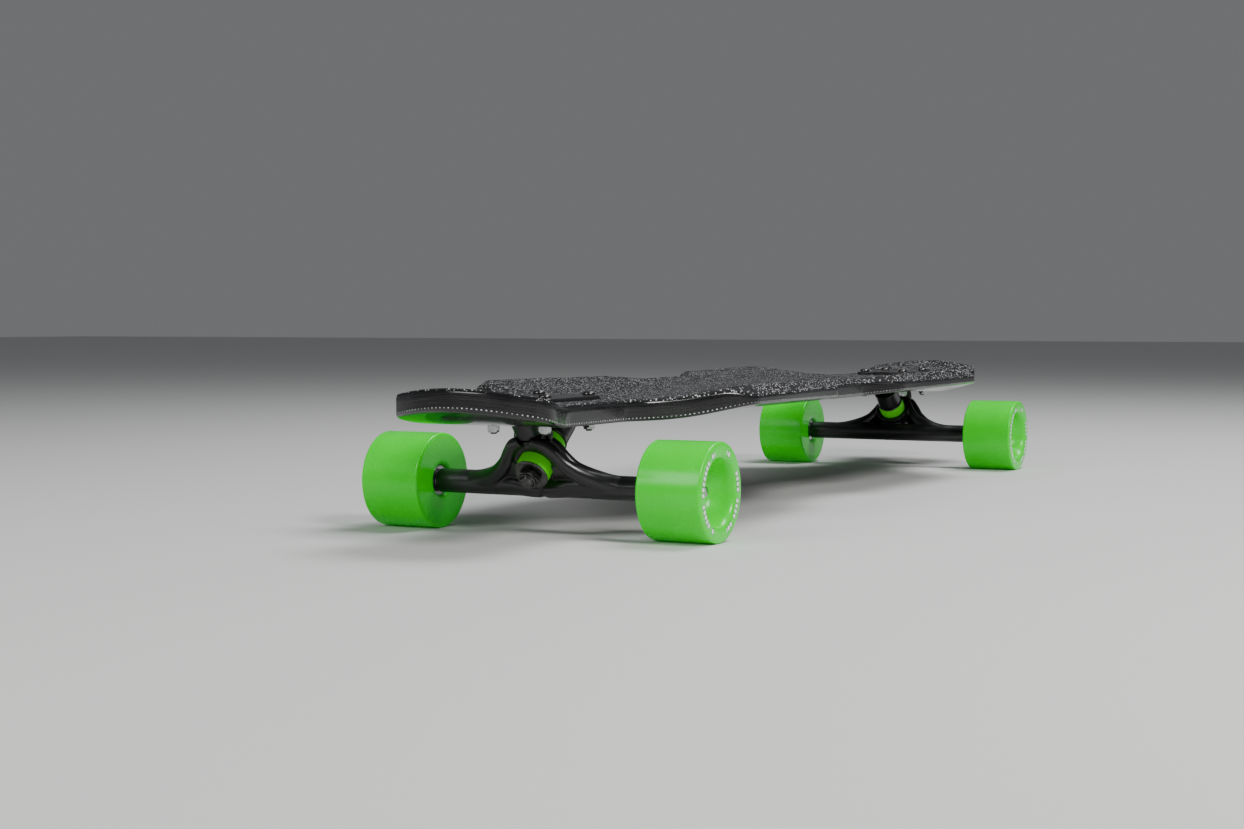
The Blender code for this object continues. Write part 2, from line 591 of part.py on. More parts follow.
def build_wheel(name, side, steer, finishes):
    """One wheel with its two bearings, the speed washer inside it and the axle nut outside."""
    outward = (0, side * math.pi / 2, 0)
    axle_line = (-SEAT_OUT, -SEAT_UP)
    face = WHEEL_WIDTH / 2
    inner_seat = -face + WHEEL_SEAT_INSET
    inner_end = inner_seat + BEARING_WIDTH
    outer_seat = inner_end + CORE_GAP
    outer_end = outer_seat + BEARING_WIDTH
    dish = face - outer_end
    seat = BEARING_RADIUS + GAP
    tread = WHEEL_RADIUS
    turned(f"{name}_wheel", (
        (tread - 0.0030, face), (tread - 0.0008, face - 0.0010), (tread, face - 0.0032),
        (tread, -face + 0.0032), (tread - 0.0008, -face + 0.0010), (tread - 0.0030, -face),
        (seat, -face), (seat, inner_end + GAP), (seat - 0.0026, inner_end + GAP),
        (seat - 0.0026, outer_seat - GAP), (seat, outer_seat - GAP), (seat, outer_end + 0.0010),
        (tread * 0.49, outer_end + dish * 0.19), (tread * 0.60, outer_end + dish * 0.55),
        (tread * 0.655, face - dish * 0.14), (tread * 0.72, face)),
        steer, (side * WHEEL_CENTRE, *axle_line), outward, finishes["wheel"], sides=32, ring=True)
    bore = AXLE_RADIUS + 0.0004
    ring = [(BEARING_RADIUS, BEARING_WIDTH), (BEARING_RADIUS, 0.0), (bore, 0.0),
            (bore, BEARING_WIDTH)]
    for word, start in (("inner", inner_seat), ("outer", outer_seat)):
        turned(f"{name}_{word}_bearing", ring, steer, (side * (WHEEL_CENTRE + start), *axle_line),
               outward, finishes["bearing"], ring=True)
    washer = [(AXLE_RADIUS + 0.0032, SPEED_WASHER), (AXLE_RADIUS + 0.0032, 0.0),
              (AXLE_RADIUS + GAP, 0.0), (AXLE_RADIUS + GAP, SPEED_WASHER)]
    turned(f"{name}_speed_washer", washer, steer, (side * (HANGER_HALF + GAP), *axle_line),
           outward, finishes["bearing"], sides=12, ring=True)
    nut(f"{name}_axle_nut", AXLE_NUT_ACROSS, AXLE_NUT_HEIGHT, AXLE_RADIUS + GAP, steer,
        (side * AXLE_NUT_FACE, *axle_line), outward, finishes["bearing"], collar=0.0016)


def build_truck(end, finishes):
    """One truck; the front one faces the other way, so its local Y still points outboard."""
    sign = -1 if end == "front" else 1
    truck = empty(f"{end}_truck", place=(0, sign * AXLE_Y, WHEEL_RADIUS),
                  turn=(0, 0, math.pi if end == "front" else 0))
    seat = (0, SEAT_OUT, SEAT_UP)
    kingpin_axis = empty(f"{end}_kingpin_axis", truck, seat, (-(math.pi - PIVOT_ANGLE), 0, 0))
    pivot_axis = empty(f"{end}_pivot_axis", truck, seat, (-(math.pi / 2 - PIVOT_ANGLE), 0, 0))
    steer = empty(f"{end}_steering", truck, seat)
    build_baseplate(end, truck, kingpin_axis, pivot_axis, finishes["cast"])
    build_pivot_cup(end, pivot_axis, finishes["cup"])
    build_kingpin_stack(end, kingpin_axis, finishes)
    build_hanger(end, steer, finishes["cast"])
    build_bolts(end, truck, finishes["bolt"])
    add(f"{end}_axle", cylinder("axle", AXLE_RADIUS, -AXLE_HALF, AXLE_HALF, 12), steer,
        (0, -SEAT_OUT, -SEAT_UP), (0, math.pi / 2, 0), finishes["bearing"])
    for side in (-1, 1):
        word = "left" if side * sign > 0 else "right"
        build_wheel(f"{end}_{word}", side, steer, finishes)
    return truck


def main():
    clear_scene()
    finishes = {
        "deck": material("deck_composite", (0.012, 0.012, 0.014), 0.28),
        "grip": material("grip_grit", (0.035, 0.035, 0.036), 0.95),
        "cast": material("black_casting", (0.016, 0.016, 0.017), 0.42, 0.35),
        "kingpin": material("dark_steel", (0.10, 0.10, 0.105), 0.35, 1.0),
        "bolt": material("bright_zinc", (0.62, 0.62, 0.63), 0.28, 1.0),
        "bearing": material("bright_steel", (0.45, 0.45, 0.46), 0.30, 1.0),
        "wheel": material("green_urethane", (0.05, 0.78, 0.04), 0.32),
        "bushing": material("green_bushing", (0.18, 0.80, 0.05), 0.40),
        "cup": material("black_cup", (0.02, 0.02, 0.02), 0.55),
    }
    trucks = [build_truck(end, finishes) for end in ("front", "rear")]
    build_deck(trucks, finishes)


main()
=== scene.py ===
"""Fine surfaces and finishes of a drop-through longboard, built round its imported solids.

Frame: X across the board, Y along it with the nose at -Y, Z up, ground at z = 0, metres. A truck
is described once in its own frame, with its axle at the origin and Y outboard.
"""

from __future__ import annotations

import logging
import math
from collections.abc import Callable, Iterable, Sequence
from dataclasses import dataclass, field
from enum import Enum
from functools import cache
from typing import ClassVar

import bmesh
import bpy
import numpy as np
from mathutils import Matrix, Vector

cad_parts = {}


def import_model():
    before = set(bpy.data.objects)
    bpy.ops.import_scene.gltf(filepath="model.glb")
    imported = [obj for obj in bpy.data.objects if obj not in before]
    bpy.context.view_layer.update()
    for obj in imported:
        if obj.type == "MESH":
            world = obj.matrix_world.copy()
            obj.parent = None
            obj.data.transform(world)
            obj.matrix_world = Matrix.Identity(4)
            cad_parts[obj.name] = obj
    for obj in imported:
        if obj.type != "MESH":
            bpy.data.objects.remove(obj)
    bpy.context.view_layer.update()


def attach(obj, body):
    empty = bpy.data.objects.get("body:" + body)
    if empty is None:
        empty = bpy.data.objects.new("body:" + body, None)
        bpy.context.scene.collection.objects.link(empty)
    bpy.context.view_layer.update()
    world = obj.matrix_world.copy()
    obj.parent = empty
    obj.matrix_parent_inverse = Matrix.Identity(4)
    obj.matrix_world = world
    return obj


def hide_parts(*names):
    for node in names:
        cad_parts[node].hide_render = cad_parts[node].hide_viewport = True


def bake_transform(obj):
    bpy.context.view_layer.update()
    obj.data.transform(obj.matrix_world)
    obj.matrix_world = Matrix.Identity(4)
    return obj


LOG = logging.getLogger("longboard")
MM = 0.001
Profile = Sequence[tuple[float, float]]
Point = tuple[float, float, float]


class End(Enum):
    """The two ends of the board, with the direction that each truck faces."""

    FRONT = -1
    REAR = 1

    @property
    def word(self) -> str:
        """The end's name in piece names."""
        return self.name.lower()


class Side(Enum):
    """A wheel's side of the board, seen by a rider who looks at the nose."""

    LEFT = 1
    RIGHT = -1

    @property
    def word(self) -> str:
        """The side's name in piece names."""
        return self.name.lower()


class Slot(Enum):
    """The record's material slots."""

    LAMINATE = "deck_laminate"
    GRIT = "grip_grit"
    CASTING = "black_casting"
    DARK_STEEL = "dark_steel"
    ZINC = "bright_zinc"
    STEEL = "bright_steel"
    URETHANE = "green_urethane"
    BUSHING = "green_bushing"
    CUP = "cup_plastic"


# ---------------------------------------------------------------- mesh making
def ease(value: float, low: float, high: float) -> float:
    """A smooth rise from 0 at low to 1 at high.

    Args:
        value: Where it is read.
        low: Start of the rise.
        high: End of the rise.

    Returns:
        A number from 0 to 1.
    """
    t = min(max((value - low) / (high - low), 0.0), 1.0)
    return t * t * (3 - 2 * t)


def soften(points: Profile, radius: float, steps: int = 4,
           ring: bool = False) -> list[tuple[float, float]]:
    """Round the corners of a flat outline.

    Args:
        points: The outline's corners.
        radius: How far from a corner its rounding starts, at most.
        steps: Segments in each rounded corner.
        ring: Whether the outline closes on itself.

    Returns:
        The outline with rounded corners.
    """
    count = len(points)
    result: list[tuple[float, float]] = []
    for i, (x, y) in enumerate(points):
        if not ring and i in (0, count - 1):
            result.append((x, y))
            continue
        corner = Vector((x, y))
        before, after = Vector(points[i - 1]) - corner, Vector(points[(i + 1) % count]) - corner
        start = corner + before * min(radius / max(before.length, 1e-9), 0.45)
        end = corner + after * min(radius / max(after.length, 1e-9), 0.45)
        for k in range(steps + 1):
            t = k / steps
            result.append(tuple(start * (1 - t) ** 2 + corner * 2 * t * (1 - t) + end * t * t))
    return result


def settled(name: str, bm: bmesh.types.BMesh) -> bpy.types.Mesh:
    """The mesh of a bmesh, which is freed."""
    mesh = bpy.data.meshes.new(name)
    bm.to_mesh(mesh)
    bm.free()
    return mesh


def from_mesh(mesh: bpy.types.Mesh) -> bmesh.types.BMesh:
    """A bmesh copy of a mesh."""
    bm = bmesh.new()
    bm.from_mesh(mesh)
    return bm


def closed_loft(bm: bmesh.types.BMesh, rings: Sequence[Sequence[bmesh.types.BMVert]]) -> None:
    """Join rings of points into a closed solid.

    Args:
        bm: What holds the points.
        rings: Rings with the same number of points each.
    """
    for first, second in zip(rings, rings[1:]):
        for k in range(len(first)):
            bm.faces.new((first[k], first[k - 1], second[k - 1], second[k]))
    bm.faces.new(rings[0])
    bm.faces.new(rings[-1][::-1])
    bmesh.ops.recalc_face_normals(bm, faces=bm.faces)


def skin(name: str, grid: np.ndarray, around: bool, ring: bool,
         row_material: Sequence[int] = ()) -> bpy.types.Mesh:
    """A mesh over a grid of points.

    Args:
        name: The mesh's name.
        grid: Points as rows x columns x 3.
        around: Whether the columns close on themselves.
        ring: Whether the rows close on themselves.
        row_material: Material index of the faces after each row.

    Returns:
        The mesh, with doubled points merged.
    """
    rows, columns = grid.shape[:2]
    index = np.arange(rows * columns).reshape(rows, columns)
    below = np.roll(index, -1, 0) if ring else index[1:]
    above = index if ring else index[:-1]
    if around:
        quads = np.stack([above, np.roll(above, -1, 1), np.roll(below, -1, 1), below], -1)
    else:
        quads = np.stack([above[:, :-1], above[:, 1:], below[:, 1:], below[:, :-1]], -1)
    mesh = bpy.data.meshes.new(name)
    mesh.from_pydata(grid.reshape(-1, 3).tolist(), [], quads.reshape(-1, 4).tolist())
    if len(row_material):
        marks = np.repeat(np.asarray(row_material)[:quads.shape[0]], quads.shape[1])
        mesh.polygons.foreach_set("material_index", marks.astype(np.int32))
    bm = bmesh.new()
    bm.from_mesh(mesh)
    bmesh.ops.remove_doubles(bm, verts=bm.verts, dist=1e-7)
    bmesh.ops.dissolve_degenerate(bm, edges=bm.edges, dist=1e-7)
    bmesh.ops.recalc_face_normals(bm, faces=bm.faces)
    bm.to_mesh(mesh)
    bm.free()
    return mesh


def turn(name: str, profile: Profile, segments: int = 64, ring: bool = False,
         shape: Callable[[np.ndarray, np.ndarray, np.ndarray], np.ndarray] | None = None,
         row_material: Sequence[int] = ()) -> bpy.types.Mesh:
    """A turned piece about Z.

    Args:
        name: The mesh's name.
        profile: (radius, height) points.
        segments: Points round the axis.
        ring: Whether the profile closes on itself.
        shape: Changes a radius, given radius, height and angle.
        row_material: Material index of the band after each profile point.

    Returns:
        The mesh.
    """
    radius = np.array([p[0] for p in profile])[:, None] * np.ones((1, segments))
    height = np.array([p[1] for p in profile])[:, None] * np.ones((1, segments))
    angle = np.linspace(0, 2 * math.pi, segments, endpoint=False)[None, :] * np.ones_like(radius)
    if shape is not None:
        radius = shape(radius, height, angle)
    grid = np.stack([radius * np.cos(angle), radius * np.sin(angle), height], -1)
    return skin(name, grid, True, ring, row_material)


def hexagon(across: float) -> Callable[[np.ndarray, np.ndarray, np.ndarray], np.ndarray]:
    """A shape for turn() that limits a radius to a hexagon with this width across its flats."""
    def limit(radius: np.ndarray, height: np.ndarray, angle: np.ndarray) -> np.ndarray:
        """The smaller of the turned radius and the hexagon's."""
        flat = np.mod(angle, math.pi / 3) - math.pi / 6
        return np.minimum(radius, across / 2 / np.cos(flat))
    return limit


def thread(pitch: float, depth: float, low: float, high: float,
           both_ends: bool = False) -> Callable[[np.ndarray, np.ndarray, np.ndarray], np.ndarray]:
    """A shape for turn() that cuts a screw thread.

    Args:
        pitch: Rise per turn.
        depth: Depth of the groove.
        low: Height where the thread starts.
        high: Height where it ends.
        both_ends: Whether the thread is repeated at the negative heights.

    Returns:
        The function that lowers the radius in the groove.
    """
    def groove(radius: np.ndarray, height: np.ndarray, angle: np.ndarray) -> np.ndarray:
        """The radius with the groove taken off it."""
        place = np.abs(height) if both_ends else height
        wave = np.abs(np.mod(height / pitch - angle / (2 * math.pi), 1.0) * 2 - 1)
        run_out = np.clip((place - low) / pitch, 0, 1) * (place < high)
        return radius - depth * wave * run_out * (radius > 2 * depth)
    return groove


def sweep(path: Sequence[Point], radii: Sequence[float], sides: int = 20,
          samples: int = 6) -> bmesh.types.BMesh:
    """A closed round bar along a smooth path.

    Args:
        path: Points that the bar's centre passes through.
        radii: Its radius at each of them.
        sides: Points round it.
        samples: Sections from one point to the next.

    Returns:
        The bar.
    """
    given = np.array(path)
    padded = np.vstack([2 * given[0] - given[1], given, 2 * given[-1] - given[-2]])
    points, sizes = [], []
    for i in range(len(given) - 1):
        p0, p1, p2, p3 = padded[i:i + 4]
        for k in range(samples + (i == len(given) - 2)):
            t = k / samples
            points.append(0.5 * (2 * p1 + (p2 - p0) * t + (2 * p0 - 5 * p1 + 4 * p2 - p3) * t * t
                                 + (3 * p1 - p0 - 3 * p2 + p3) * t ** 3))
            sizes.append(radii[i] * (1 - t) + radii[i + 1] * t)
    bm = bmesh.new()
    side = Vector((1, 0, 0))
    rings = []
    for i, (centre, size) in enumerate(zip(points, sizes)):
        along = Vector(points[min(i + 1, len(points) - 1)] - points[max(i - 1, 0)]).normalized()
        if i == 0:
            side = along.orthogonal().normalized()
        side = (side - along * side.dot(along)).normalized()
        up = along.cross(side)
        rings.append([bm.verts.new(Vector(centre) + (side * math.cos(a) + up * math.sin(a)) * size)
                      for a in (2 * math.pi * k / sides for k in range(sides))])
    closed_loft(bm, rings)
    return bm


def bar(radius: float, low: float, high: float, place: Matrix | None = None,
        sides: int = 48) -> bmesh.types.BMesh:
    """A closed cylinder on Z, from low to high.

    Args:
        radius: Its radius.
        low: Height of one end.
        high: Height of the other end.
        place: Where it goes.
        sides: Points round it.

    Returns:
        The solid.
    """
    bm = bmesh.new()
    bmesh.ops.create_cone(bm, cap_ends=True, segments=sides, radius1=radius, radius2=radius,
                          depth=high - low)
    bmesh.ops.translate(bm, verts=bm.verts, vec=(0, 0, (low + high) / 2))
    if place is not None:
        bm.transform(place)
    return bm


def block(low: Point, high: Point, corner: float = 0.0) -> bmesh.types.BMesh:
    """A box between two corners.

    Args:
        low: Its lowest corner.
        high: Its highest corner.
        corner: Rounding of its four upright edges.

    Returns:
        The solid.
    """
    bm = bmesh.new()
    bmesh.ops.create_cube(bm, size=1)
    bmesh.ops.scale(bm, verts=bm.verts, vec=[b - a for a, b in zip(low, high)])
    bmesh.ops.translate(bm, verts=bm.verts, vec=[(a + b) / 2 for a, b in zip(low, high)])
    if corner:
        upright = [e for e in bm.edges if (e.verts[0].co.xy - e.verts[1].co.xy).length < 1e-6]
        bmesh.ops.bevel(bm, geom=upright, offset=corner, segments=8, affect="EDGES", profile=0.5)
    return bm


def evaluated(mesh: bpy.types.Mesh, dress: Callable[[bpy.types.Object], None]) -> bpy.types.Mesh:
    """A mesh with modifiers applied.

    Args:
        mesh: What they work on.
        dress: Adds the modifiers to an object that holds it.

    Returns:
        The new mesh.
    """
    holder = bpy.data.objects.new("holder", mesh)
    bpy.context.scene.collection.objects.link(holder)
    dress(holder)
    graph = bpy.context.evaluated_depsgraph_get()
    result = bpy.data.meshes.new_from_object(holder.evaluated_get(graph))
    bpy.data.objects.remove(holder)
    return result


def gathered(name: str, solids: Iterable[bmesh.types.BMesh]) -> bpy.types.Mesh:
    """One mesh that holds all these solids, which are freed."""
    joined = bmesh.new()
    for solid in solids:
        part = settled(name, solid)
        joined.from_mesh(part)
        bpy.data.meshes.remove(part)
    return settled(name, joined)


def carved(mesh: bpy.types.Mesh, cutters: Sequence[bmesh.types.BMesh]) -> bpy.types.Mesh:
    """The mesh with every cutter taken out of it."""
    holders = [bpy.data.objects.new("cutter", settled("cutter", cutter)) for cutter in cutters]
    tools = bpy.data.collections.new("cutters")
    for holder in holders:
        tools.objects.link(holder)

    def dress(holder: bpy.types.Object) -> None:
        """Add the cut."""
        boolean = holder.modifiers.new("cut", "BOOLEAN")
        boolean.operation = "DIFFERENCE"
        boolean.operand_type = "COLLECTION"
        boolean.collection = tools

    result = evaluated(mesh, dress)
    for holder in holders:
        bpy.data.objects.remove(holder)
    bpy.data.collections.remove(tools)
    return result


def cast(name: str, solids: Iterable[bmesh.types.BMesh], voxel: float,
         passes: int) -> bpy.types.Mesh:
    """Solids run together as a casting, with soft fillets where they meet.

    Args:
        name: The mesh's name.
        solids: Overlapping closed solids.
        voxel: Size of the finest detail.
        passes: How often the surface is smoothed.

    Returns:
        The casting's skin.
    """
    def dress(holder: bpy.types.Object) -> None:
        """Add the remesh and the smoothing."""
        remesh = holder.modifiers.new("flow", "REMESH")
        remesh.mode = "VOXEL"
        remesh.voxel_size = voxel
        relax = holder.modifiers.new("fettle", "SMOOTH")
        relax.factor = 0.5
        relax.iterations = passes

    return evaluated(gathered(name, solids), dress)


# ---------------------------------------------------------------- finishes
class Nodes:
    """A node tree and short ways to add to it."""

    def __init__(self, tree: bpy.types.NodeTree) -> None:
        """Keep the tree."""
        self.tree = tree

    def add(self, kind: str, **values: object) -> bpy.types.Node:
        """A node of this kind, with its properties set."""
        node = self.tree.nodes.new(f"ShaderNode{kind}")
        for key, value in values.items():
            setattr(node, key, value)
        return node

    def feed(self, source: bpy.types.NodeSocket, target: bpy.types.NodeSocket) -> None:
        """Link one socket to another."""
        self.tree.links.new(source, target)

    def math(self, operation: str, first: object, second: object = 0.0) -> bpy.types.NodeSocket:
        """The result of a Math node.

        Args:
            operation: Its operation.
            first: A socket or a number.
            second: A socket or a number.

        Returns:
            The node's output.
        """
        node = self.add("Math", operation=operation)
        for place, value in enumerate((first, second)):
            if isinstance(value, bpy.types.NodeSocket):
                self.feed(value, node.inputs[place])
            else:
                node.inputs[place].default_value = value
        return node.outputs[0]

    def noise(self, vector: bpy.types.NodeSocket, scale: object,
              detail: float = 3.0) -> bpy.types.NodeSocket:
        """A noise value.

        Args:
            vector: Where it is read.
            scale: A socket or a number.
            detail: Its octaves.

        Returns:
            The value socket.
        """
        node = self.add("TexNoise")
        self.feed(vector, node.inputs["Vector"])
        if isinstance(scale, bpy.types.NodeSocket):
            self.feed(scale, node.inputs["Scale"])
        else:
            node.inputs["Scale"].default_value = scale
        node.inputs["Detail"].default_value = detail
        return node.outputs["Fac"]

    def ramp(self, value: bpy.types.NodeSocket, low: float, high: float) -> bpy.types.NodeSocket:
        """0 below low, 1 above high, and smooth between.

        Args:
            value: What is read.
            low: Start of the rise.
            high: End of the rise.

        Returns:
            The value socket.
        """
        node = self.add("MapRange", interpolation_type="SMOOTHSTEP")
        self.feed(value, node.inputs["Value"])
        node.inputs["From Min"].default_value = low
        node.inputs["From Max"].default_value = high
        return node.outputs["Result"]

    def mix(self, share: bpy.types.NodeSocket, first: object,
            second: object) -> bpy.types.NodeSocket:
        """A mix of two colours.

        Args:
            share: How much of the second.
            first: A colour or its socket.
            second: A colour or its socket.

        Returns:
            The colour socket.
        """
        node = self.add("Mix", data_type="RGBA")
        self.feed(share, node.inputs["Factor"])
        for value, socket in ((first, node.inputs[6]), (second, node.inputs[7])):
            if isinstance(value, bpy.types.NodeSocket):
                self.feed(value, socket)
            else:
                socket.default_value = (*value, 1.0)
        return node.outputs[2]


def new_group(name: str, inputs: dict[str, str], outputs: dict[str, str]) -> tuple[
        bpy.types.NodeTree, Nodes, bpy.types.Node, bpy.types.Node]:
    """An empty shader group with named sockets.

    Args:
        name: The group's name.
        inputs: Socket name to type.
        outputs: Socket name to type.

    Returns:
        The group, its node maker, and its input and output nodes.
    """
    tree = bpy.data.node_groups.new(name, "ShaderNodeTree")
    for direction, sockets in (("INPUT", inputs), ("OUTPUT", outputs)):
        for socket, kind in sockets.items():
            tree.interface.new_socket(socket, in_out=direction, socket_type=f"NodeSocket{kind}")
    return tree, Nodes(tree), tree.nodes.new("NodeGroupInput"), tree.nodes.new("NodeGroupOutput")


class Effects:
    """The shader groups that several finishes share."""

    def __init__(self) -> None:
        """Build every group."""
        self.handling = self._handling()
        self.grain = self._grain()
        self.painted_glints = self._painted_glints()

    @staticmethod
    def _handling() -> bpy.types.NodeTree:
        """Colour and gloss that drift over the surface, with fine scuffs."""
        tree, n, source, result = new_group(
            "handling", {"Vector": "Vector", "Tone": "Color", "Worn tone": "Color",
                         "Patch scale": "Float", "Wear": "Float", "Smooth": "Float",
                         "Rough": "Float"}, {"Color": "Color", "Roughness": "Float"})
        vector = source.outputs["Vector"]
        patch = n.ramp(n.noise(vector, source.outputs["Patch scale"], 4.0), 0.35, 0.75)
        fine = n.math("MULTIPLY", source.outputs["Patch scale"], 14.0)
        scuff = n.ramp(n.noise(vector, fine, 2.0), 0.52, 0.72)
        worn = n.math("MULTIPLY", n.math("ADD", n.math("MULTIPLY", patch, 0.6),
                                         n.math("MULTIPLY", scuff, 0.4)), source.outputs["Wear"])
        tone = n.mix(worn, source.outputs["Tone"], source.outputs["Worn tone"])
        n.feed(tone, result.inputs["Color"])
        gloss = n.math("ADD", n.math("MULTIPLY", patch, 0.55), n.math("MULTIPLY", scuff, 0.45))
        span = n.math("SUBTRACT", source.outputs["Rough"], source.outputs["Smooth"])
        n.feed(n.math("ADD", n.math("MULTIPLY", gloss, span), source.outputs["Smooth"]),
               result.inputs["Roughness"])
        return tree

    @staticmethod
    def _grain() -> bpy.types.NodeTree:
        """Height of a fine skin, from a soft ripple to a sharp grit."""
        tree, n, source, result = new_group(
            "skin_grain", {"Vector": "Vector", "Scale": "Float", "Grit": "Float"},
            {"Height": "Float"})
        vector = source.outputs["Vector"]
        soft = n.noise(vector, source.outputs["Scale"], 5.0)
        cells = n.add("TexVoronoi")
        n.feed(vector, cells.inputs["Vector"])
        n.feed(source.outputs["Scale"], cells.inputs["Scale"])
        sharp = n.math("SUBTRACT", 1.0, cells.outputs["Distance"])
        grit = source.outputs["Grit"]
        height = n.math("ADD", n.math("MULTIPLY", soft, n.math("SUBTRACT", 1.0, grit)),
                        n.math("MULTIPLY", sharp, grit))
        n.feed(height, result.inputs["Height"])
        return tree

    @staticmethod
    def _painted_glints() -> bpy.types.NodeTree:
        """A mask of separate bright flecks, painted glints: highlights painted into the colour."""
        tree, n, source, result = new_group(
            "painted_glints", {"Vector": "Vector", "Scale": "Float", "Share": "Float"}, {"Mask": "Float"})
        cells = n.add("TexVoronoi")
        n.feed(source.outputs["Vector"], cells.inputs["Vector"])
        n.feed(source.outputs["Scale"], cells.inputs["Scale"])
        split = n.add("SeparateColor")
        n.feed(cells.outputs["Color"], split.inputs[0])
        # Painted highlights: a share of the cells is chosen to shine as bright glints.
        chosen = n.math("LESS_THAN", split.outputs[0], source.outputs["Share"])
        core = n.math("SUBTRACT", 1.0, n.ramp(cells.outputs["Distance"], 0.25, 0.5))
        n.feed(n.math("MULTIPLY", chosen, core), result.inputs["Mask"])
        return tree


@dataclass(frozen=True)
class Finish:
    """A surface finish; the scales are per metre and the depth is in metres."""

    name: str
    tone: tuple[float, float, float]
    worn: tuple[float, float, float]
    smooth: float
    rough: float
    wear: float = 0.5
    patch_scale: float = 40.0
    grain_scale: float = 900.0
    grain_depth: float = 0.00002
    grit: float = 0.0
    metallic: float = 0.0
    coat: float = 0.0
    coat_roughness: float = 0.1
    subsurface: float = 0.0
    anisotropic: float = 0.0
    specular: float = 0.5
    # Painted light: emission strength that makes the part glow in its own tone.
    glow: float = 0.0

    def build(self, effects: Effects) -> bpy.types.Material:
        """The material.

        Args:
            effects: The shared shader groups.

        Returns:
            A material with this finish.
        """
        made = bpy.data.materials.new(self.name)
        made.use_nodes = True
        made.diffuse_color = (*self.tone, 1.0)
        shader = made.node_tree.nodes["Principled BSDF"]
        n = Nodes(made.node_tree)
        shader.inputs["Metallic"].default_value = self.metallic
        shader.inputs["Coat Weight"].default_value = self.coat
        shader.inputs["Coat Roughness"].default_value = self.coat_roughness
        shader.inputs["Anisotropic"].default_value = self.anisotropic
        shader.inputs["Specular IOR Level"].default_value = self.specular
        # Painted light: the part glows in its own tone, though it is no lamp.
        if self.glow:
            shader.inputs["Emission Color"].default_value = (*self.tone, 1.0)
            shader.inputs["Emission Strength"].default_value = self.glow
        if self.subsurface:
            shader.inputs["Subsurface Weight"].default_value = self.subsurface
            shader.inputs["Subsurface Radius"].default_value = (0.4, 1.0, 0.3)
            shader.inputs["Subsurface Scale"].default_value = 0.004
        place = n.add("TexCoord").outputs["Object"]
        handling = self.group(n, effects.handling, {
            "Vector": place, "Tone": (*self.tone, 1), "Worn tone": (*self.worn, 1),
            "Patch scale": self.patch_scale, "Wear": self.wear, "Smooth": self.smooth,
            "Rough": self.rough})
        grain = self.group(n, effects.grain, {
            "Vector": place, "Scale": self.grain_scale, "Grit": self.grit})
        bump = n.add("Bump")
        bump.inputs["Strength"].default_value = 1.0
        bump.inputs["Distance"].default_value = self.grain_depth
        n.feed(grain.outputs["Height"], bump.inputs["Height"])
        n.feed(bump.outputs["Normal"], shader.inputs["Normal"])
        colour = self.paint(n, effects, place, handling.outputs["Color"])
        n.feed(colour, shader.inputs["Base Color"])
        n.feed(handling.outputs["Roughness"], shader.inputs["Roughness"])
        return made

    @staticmethod
    def group(n: Nodes, tree: bpy.types.NodeTree, values: dict[str, object]) -> bpy.types.Node:
        """A shared group placed in a material.

        Args:
            n: The material's node maker.
            tree: The group.
            values: Socket name to a socket or a value.

        Returns:
            The group node.
        """
        node = n.add("Group", node_tree=tree)
        for key, value in values.items():
            if isinstance(value, bpy.types.NodeSocket):
                n.feed(value, node.inputs[key])
            else:
                node.inputs[key].default_value = value
        return node

    def paint(self, n: Nodes, effects: Effects, place: bpy.types.NodeSocket,
              colour: bpy.types.NodeSocket) -> bpy.types.NodeSocket:
        """What is painted over the tone; nothing, in a plain finish."""
        return colour


@dataclass(frozen=True)
class PaintedGlintFinish(Finish):
    """A finish with separate bright flecks in it, painted glints that stand in for highlights."""

    # Tone, size and share of the painted glints.
    painted_glint: tuple[float, float, float] = (0.5, 0.5, 0.5)
    painted_glint_scale: float = 1500.0
    painted_glint_share: float = 0.2

    def paint(self, n: Nodes, effects: Effects, place: bpy.types.NodeSocket,
              colour: bpy.types.NodeSocket) -> bpy.types.NodeSocket:
        """The tone with its flecks painted in as glints."""
        painted_glints = self.group(n, effects.painted_glints, {
            "Vector": place, "Scale": self.painted_glint_scale, "Share": self.painted_glint_share})
        return n.mix(painted_glints.outputs["Mask"], colour, self.painted_glint)


